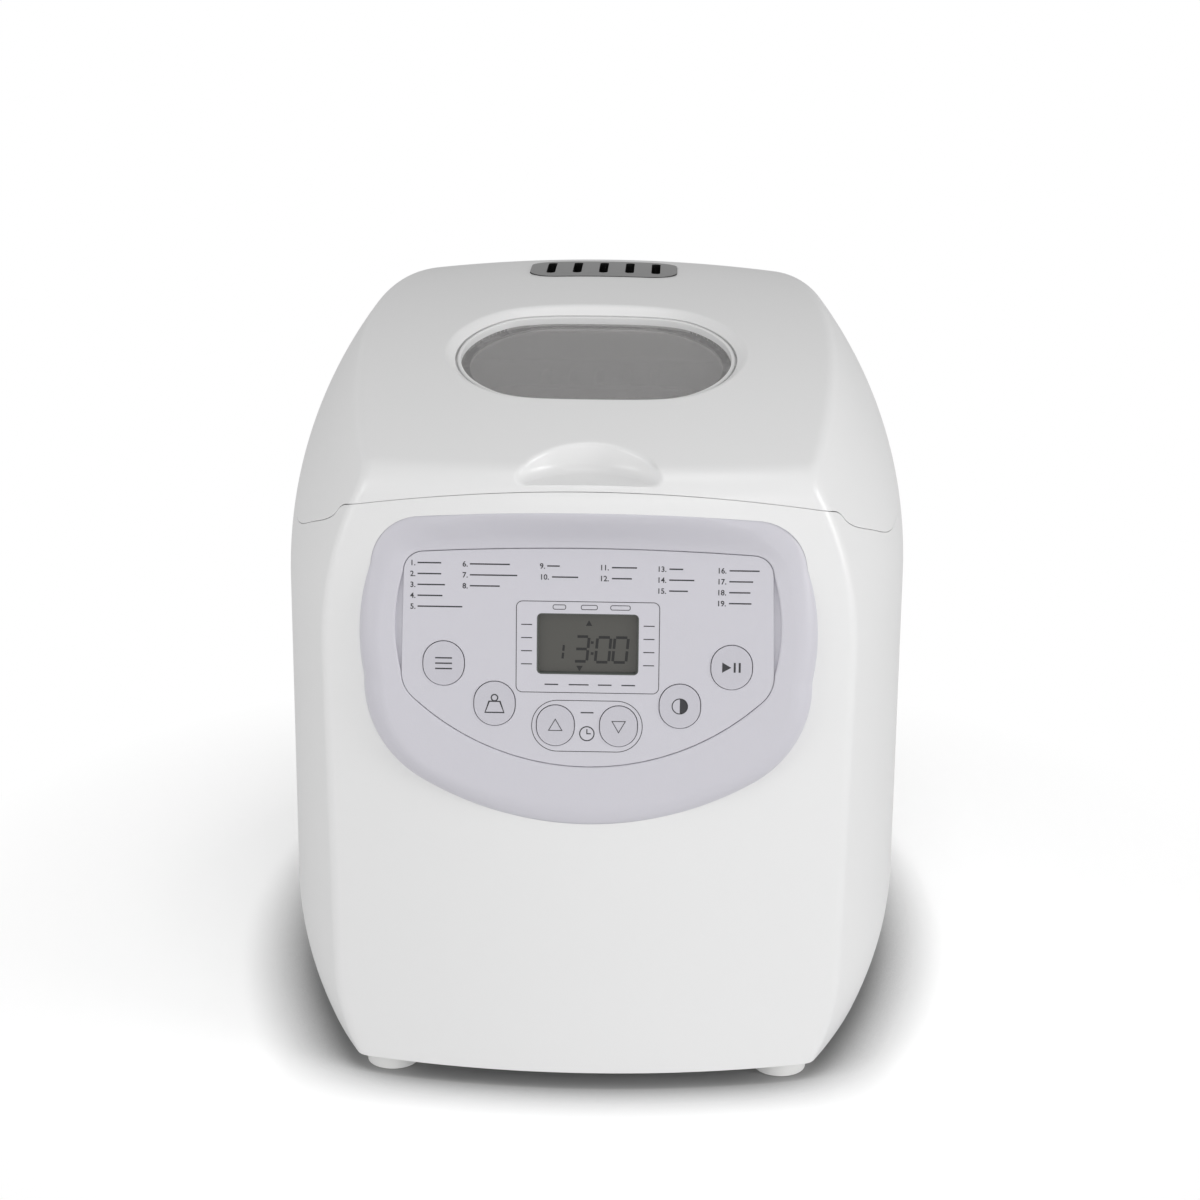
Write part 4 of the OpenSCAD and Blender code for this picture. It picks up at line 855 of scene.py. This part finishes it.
def lid_grid(rows=112):
    """Points over the lid, on rays from an eye inside it, in rows that crowd where the skin bends."""
    turns = spaced_turns(TURNS, LID_CROWD)
    flat = np.stack([np.cos(turns), np.sin(turns), np.zeros_like(turns)], -1)
    pole = np.array([0, 0, 1.0])

    def cast(lift):
        way = flat * np.cos(lift)[..., None] + pole * np.sin(lift)[..., None]
        return LID_EYE + way * solve_along(lid_field, LID_EYE, way, RAY)[..., None]
    low = np.full_like(turns, math.radians(FAN_LOW))
    high = np.full_like(turns, math.radians(FAN_HIGH))
    for _ in range(26):
        middle = (low + high) / 2
        at = cast(middle)
        above = at[:, 2] > seam_height(at[:, 0], at[:, 1]) + SEAM_GAP + RIM
        low, high = np.where(above, low, middle), np.where(above, middle, high)
    fan = np.linspace(0, 1, 480)[:, None] ** 1.25
    at = cast(high + (math.pi / 2 - high) * fan)
    step = np.diff(at, axis=0)
    length = np.linalg.norm(step, axis=-1)
    step /= np.maximum(length, 1e-9)[..., None]
    turned = np.linalg.norm(np.diff(step, axis=0), axis=-1)
    weight = length + 22 * np.concatenate([turned, turned[-1:]], 0)
    run = np.concatenate([0 * weight[:1], np.cumsum(weight, 0)], 0)
    run /= run[-1]
    even = np.linspace(0, 1, rows)
    share = np.stack([np.interp(even, run[:, c], fan[:, 0]) for c in range(len(turns))], 1)
    ring = share[:, :-1]
    blur = {k: math.exp(-(k / BLUR) ** 2) for k in range(-2 * BLUR, 2 * BLUR + 1)}
    share = sum(part * np.roll(ring, k, 1) for k, part in blur.items())
    share /= sum(blur.values())
    share = np.concatenate([share, share[:, :1]], 1)
    share[0], share[-1] = 0, 1
    at = cast(high + (math.pi / 2 - high) * share)
    at[-1] = at[-1, 0]
    return np.concatenate([np.array(list(rim_rows(at[0], lid_field, -1)))[::-1], at], 0)


def mould_lid():
    shell = laid_grid("lid_shell_skin", lid_grid())
    point_out(shell, LID_EYE)
    apply_modifier(shell, "SOLIDIFY", thickness=LID_WALL * MM, offset=-1)
    # Countersink round the window, in loops from the opening out to the dome
    up = np.array([0, -math.sin(WINDOW_SLOPE), math.cos(WINDOW_SLOPE)])
    reach, depth = [], []
    for grow in SINK_LOOPS:
        line = oval(grow)
        start = on_window(line[:, 0], line[:, 1], np.full(len(line), -20.0))
        dome = solve_along(dome_field, start, np.broadcast_to(up, start.shape), 40) - 20
        reach.append(line)
        sunk = -larger(-dome, -(SINK + SINK_SLOPE * grow), 1.5)
        depth.append(sunk if grow < SINK_END else dome)
    top = [on_window(line[:, 0], line[:, 1], n) for line, n in zip(reach, depth)]
    outer, inner = reach[-1], reach[0]
    under = [on_window(outer[:, 0], outer[:, 1], depth[-1] - 2.5),
             on_window(inner[:, 0], inner[:, 1], np.full(len(inner), -8.4))]
    surround = closed_loft("window_surround", np.array(top + under))
    cut(shell, block_over("window_opening", outer, on_window, -20, 20))
    cut(shell, block_over("vent_opening", round_slot(*VENT_HOLE), upright(0, VENT_Y), 240, 320))
    ears = [ear("lid_ear", side * EAR_X, LID_EAR, LID_WEB) for side in (-1, 1)]
    shell = join([shell, surround] + ears)
    smooth(shell)
    follow_field(shell, lid_field)
    finish_piece(shell, "lid", "housing_white", "lid_shell")


def mould_window_ring():
    loops = []
    for grow, level in RING_SECTION:
        line = oval(grow)
        loops.append(on_window(line[:, 0], line[:, 1], np.full(len(line), level)))
    ring = closed_loft("window_frame", np.array(loops))
    smooth(ring, 40)
    finish_piece(ring, "lid", "housing_white", "window_ring")


def mould_bezel():
    """Control panel bezel: hollowed above the overlay, pillowed below it, with a rounded outer edge."""
    count = 360
    outer = even_turns(grown_d(BEZEL, 0), count)
    inner = even_turns(grown_d(OVERLAY, OVERLAY_GAP), count)
    out = np.array([0, -math.sin(PANEL_TURN), math.cos(PANEL_TURN)])
    start = on_panel(outer[:, 0], outer[:, 1], np.full(count, -30.0))
    skin = solve_along(housing_field, start, np.broadcast_to(out, start.shape), 60) - 30
    width = np.linalg.norm(outer - inner, axis=1)
    crest = larger(skin + CREST_OVER, CREST_LEAST + 0 * skin, CREST_ROUND)
    high = np.clip((skin - NARROW_FROM) / NARROW_OVER, 0, 1)
    edge = (1 - high) * np.minimum(EDGE_WIDE, width * EDGE_SHARE) + high * EDGE_NARROW
    loops = []

    def loop(run, level):
        line = outer + (inner - outer) * (run / width)[:, None]
        loops.append(on_panel(line[:, 0], line[:, 1], level))
    base = skin - EDGE_FOOT
    loop(0 * width, base - BEZEL_ROOT)
    for angle in np.radians(np.linspace(0, 90, 13)):
        loop(edge * (1 - np.cos(angle)), base + (crest - base) * np.sin(angle))
    for share in np.linspace(0, 1, 16)[1:]:
        ease = share * share * (3 - 2 * share) * SLOPE_EASED + share * SLOPE_EVEN
        loop(edge + (width - LIP_WIDTH - edge) * share, crest + (LIP_TOP - crest) * ease)
    for past, level in BEZEL_LIP:
        loop(width + past, level + 0 * width)
    loop(UNDER_SHARE * width, np.minimum(UNDER_LEVEL, crest - BEZEL_THICK))
    bezel = closed_loft("panel_bezel", np.array(loops))
    smooth(bezel, 50)
    finish_piece(bezel, "housing", "panel_lilac", "control_bezel")


# ---- Display, prints and key icons, in mm on the panel ----

DISPLAY = (0, 4.6)
DISPLAY_SIZE = (41, 25)
DISPLAY_CORNER = 1.6
GLASS, DISPLAY_FLOOR = -2.2, -3
INK = 0.05
# Section of the display's wall, as (outside the opening, level)
DISPLAY_WALL = [(-0.05, DISPLAY_FLOOR), (-0.05, -0.25), (-0.45, -0.25), (-0.75, GLASS + 0.01),
                (-0.75, DISPLAY_FLOOR)]
# Digits shown: lit segments, lower left corner, width, height and line width
DIGITS = [("bc", -14.2, -2.2, 4, 6.3, 0.9), ("abcdg", -5.6, -2.9, 5.2, 10.2, 1.1),
          ("abcdef", 3.0, -3.1, 5.4, 10.2, 1.1), ("abcdef", 10.0, -3.1, 5.4, 10.2, 1.1)]
COLON_LEVELS, COLON = (0.4, 4.9), 1.1
# Segments of a digit, as (x, y, x, y) of their ends in shares of its width and height
SEGMENTS = {"a": (0, 1, 1, 1), "b": (1, 1, 1, 0.5), "c": (1, 0.5, 1, 0), "d": (0, 0, 1, 0),
            "e": (0, 0.5, 0, 0), "f": (0, 1, 0, 0.5), "g": (0, 0.5, 1, 0.5)}
# Programme columns: where each starts and how long its lines are
PROGRAMMES = [(-71.5, (9.5, 9.5, 11, 10, 18)), (-50.5, (16, 19, 12)), (-19.5, (5, 10.5)), (4.5, (10, 8)),
              (27.5, (5.5, 10, 7.5)), (51.5, (12, 9.5, 8.5, 9))]
PROGRAMME_TOP, PROGRAMME_STEP, PROGRAMME_FALL = 37.0, 4.45, 0.012
NUMBER_SIZE, NUMBER_DROP, ONE_FIGURE, TWO_FIGURES = 3.1, 1.1, 3.0, 4.9
# Marks round the display: frames above it, lines under it and rows of lines at its sides
FRAMES_ABOVE, FRAMES_LEVEL = ((-11.5, 1.5), (0.5, 1.9), (13, 2.3)), 19.7
LINES_UNDER, LINES_LEVEL = ((-14.5, 5.5), (-3.5, 8), (7, 5.5), (16.5, 5.5)), -12.1
SIDE_ROWS, SIDE_X, SIDE_TOP, SIDE_STEP, SIDE_HALF = 4, 24.6, 12.4, 5.4, 2.2
CLOCK_LEVEL, CLOCK_SIZE = -32.3, 5.8
KEY_TOP = 0.4
WEIGHT_KEY, CRUST_KEY, START_KEY = (-37.4, -20.3), (37.4, -20.3), (55.4, -4)


def patch(outline, level=0.0, thick=INK):
    """Flat filled shape just above a level of the panel."""
    return block_over("patch", outline, on_panel, level - 0.02, level + thick)


def stroke(start, end, width, level=0.0, thick=INK):
    """Straight line with flat ends."""
    start, end = np.array(start, float), np.array(end, float)
    along = (end - start) / np.linalg.norm(end - start)
    side = np.array([-along[1], along[0]]) * width / 2
    return patch([end - side, end + side, start + side, start - side], level, thick)


def line_round(outline, level=0.0, width=0.28):
    """Closed line along an outline; outline(grow) gives it grown or shrunk."""
    loops = []
    half = width / 2
    for grow, lift in ((-half, -0.02), (half, -0.02), (half, INK), (-half, INK)):
        flat = outline(grow)
        loops.append(on_panel(flat[:, 0], flat[:, 1], np.full(len(flat), level + lift)))
    return closed_loft("line", np.array(loops))


def around(u, w, width, height, radius, count=48):
    return lambda grow: round_slot(width + 2 * grow, height + 2 * grow, radius + grow, count) + (u, w)


def triangle(u, w, half, up):
    """Even triangle pointing up (1) or down (-1), grown by moving its sides out."""
    def outline(grow):
        reach = half * 1.155 + 2 * grow
        turns = np.radians(np.array([90, 210, 330]) * up)
        flat = np.stack([np.cos(turns), np.sin(turns)], -1)[::up] * reach
        edges = [flat[k] + (flat[(k + 1) % 3] - flat[k]) * np.linspace(0, 1, 4, endpoint=False)[:, None]
                 for k in range(3)]
        return np.concatenate(edges) + (u, w)
    return outline


def numeral(body, size, u, w, level=0.0):
    """Printed number standing on the line w, starting at u."""
    bpy.ops.object.select_all(action="DESELECT")
    bpy.ops.object.text_add()
    piece = bpy.context.object
    piece.data.body = body
    piece.data.size = size
    piece.data.extrude = INK / 2
    piece.data.offset = 0.05
    piece.data.resolution_u = 3
    bpy.ops.object.convert(target="MESH")
    piece = bpy.context.object
    spot = np.empty(len(piece.data.vertices) * 3)
    piece.data.vertices.foreach_get("co", spot)
    spot = spot.reshape(-1, 3)
    spot = on_panel(spot[:, 0] + u, spot[:, 1] + w, spot[:, 2] + level + INK / 2) * MM
    piece.data.vertices.foreach_set("co", spot.astype(np.float32).ravel())
    piece.data.update()
    return piece


def printed(name, pieces, body, finish):
    piece = join(pieces)
    piece.name = piece.data.name = name
    piece.data.materials.clear()
    piece.data.materials.append(FINISHES[finish])
    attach(piece, body)
    return piece


def digit(lit, u, w, width, height, thick, lean=0.09):
    """Seven-segment digit from its lower left corner, leaning right."""
    pieces = []
    for key in lit:
        x0, y0, x1, y1 = SEGMENTS[key]
        ends = np.array([[x0 * width, y0 * height], [x1 * width, y1 * height]], float)
        along = (ends[1] - ends[0]) / np.linalg.norm(ends[1] - ends[0])
        ends = ends + np.array([along, -along]) * thick * 0.42
        ends[:, 0] += ends[:, 1] * lean
        pieces.append(stroke(ends[0] + (u, w), ends[1] + (u, w), thick, GLASS))
    return pieces


def build_display():
    """Sunk display: dark walls round a grey face, and its segments."""
    hole = around(*DISPLAY, *DISPLAY_SIZE, DISPLAY_CORNER)
    face = block_over("display_face", hole(-0.1), on_panel, DISPLAY_FLOOR, GLASS)
    finish_piece(face, "housing", "lcd_glass", "lcd_lens")
    loops = []
    for grow, level in DISPLAY_WALL:
        flat = hole(grow)
        loops.append(on_panel(flat[:, 0], flat[:, 1], np.full(len(flat), float(level))))
    finish_piece(closed_loft("display_wall", np.array(loops)), "housing", "lcd_frame")
    marks = [mark for shape in DIGITS for mark in digit(*shape)]
    marks += [stroke((1.7, w - COLON / 2), (1.8, w + COLON / 2), COLON, GLASS) for w in COLON_LEVELS]
    marks += [patch(triangle(u, w, 1.3, up)(0), GLASS) for u, w, up in ((0.4, 12.5, 1), (-3.3, -5.5, -1))]
    printed("display_segments", marks, "housing", "segment_ink")


def print_panel():
    """Programme numbers with their lines, marks round the display and the timer's frame."""
    marks = [line_round(around(0, 3.3, 57.5, 37.4, 2.5)),
             line_round(around(0, -29.2, 44.7, 21.1, 10.4, 96))]
    number = 0
    for u, lengths in PROGRAMMES:
        for row, length in enumerate(lengths):
            number += 1
            w = PROGRAMME_TOP - PROGRAMME_STEP * row - PROGRAMME_FALL * (u + 71)
            marks.append(numeral(f"{number}.", NUMBER_SIZE, u, w - NUMBER_DROP))
            start = u + (ONE_FIGURE if number < 10 else TWO_FIGURES)
            marks.append(stroke((start, w), (start + length, w), 0.55))
    for u, half in FRAMES_ABOVE:
        marks.append(line_round(around(u, FRAMES_LEVEL, 3.4 * half, 1.8, 0.7)))
    for u, length in LINES_UNDER:
        marks.append(stroke((u - length / 2, LINES_LEVEL), (u + length / 2, LINES_LEVEL), 0.5))
    for side in (-1, 1):
        for row in range(SIDE_ROWS):
            w = SIDE_TOP - SIDE_STEP * row
            marks.append(stroke((side * SIDE_X - SIDE_HALF, w), (side * SIDE_X + SIDE_HALF, w), 0.4))
    marks.append(stroke((-2.6, -23.6), (2.6, -23.6), 0.5))
    marks.append(line_round(around(0, CLOCK_LEVEL, CLOCK_SIZE, CLOCK_SIZE, CLOCK_SIZE / 2), width=0.45))
    marks += [stroke((0, -32.5), (0, -30.4), 0.45), stroke((-0.2, -32.3), (1.6, -32.3), 0.45)]
    printed("panel_print", marks, "housing", "panel_ink")


def weight_body(grow):
    """Tapered body of the weight icon, anticlockwise from its lower right corner."""
    return np.array([(-33.6 + grow, -24 - grow), (-35.2 + grow, -19.4 + grow),
                     (-39.6 - grow, -19.4 + grow), (-41.2 - grow, -24 - grow)])


def print_icon(key, marks):
    printed(key + "_icon", marks, key + "_key", "panel_ink")


def print_keys():
    """Icons on the key tops."""
    print_icon("menu", [stroke((-61.4, -4 + k), (-54.6, -4 + k), 0.55, KEY_TOP) for k in (-2.2, 0, 2.2)])
    knob = around(WEIGHT_KEY[0], -17.9, 2.6, 2.6, 1.3)
    print_icon("weight", [line_round(weight_body, KEY_TOP, 0.5), line_round(knob, KEY_TOP, 0.5)])
    for key, u, up in (("timer_up", -12.8, 1), ("timer_down", 12.8, -1)):
        print_icon(key, [line_round(triangle(u, -29 - up * 0.5, 2.7, up), KEY_TOP, 0.3)])
    half = bend(CRUST_KEY, 3.1, -90, 90, 16)
    print_icon("crust", [line_round(around(*CRUST_KEY, 6.2, 6.2, 3.1), KEY_TOP, 0.4), patch(half, KEY_TOP)])
    arrow = triangle(0, 0, 2.1, 1)(0)[:, ::-1] * (1, -1) + START_KEY
    bars = [stroke((59.2 + k, -6), (59.2 + k, -2), 0.8, KEY_TOP) for k in (0, 2)]
    print_icon("start", [patch(arrow, KEY_TOP)] + bars)


mould_body()
hang_deck_skirt()
mould_lid()
mould_window_ring()
mould_bezel()
build_display()
print_panel()
print_keys()
dress_frame()
aim_camera()
light_studio()
lay_floor()
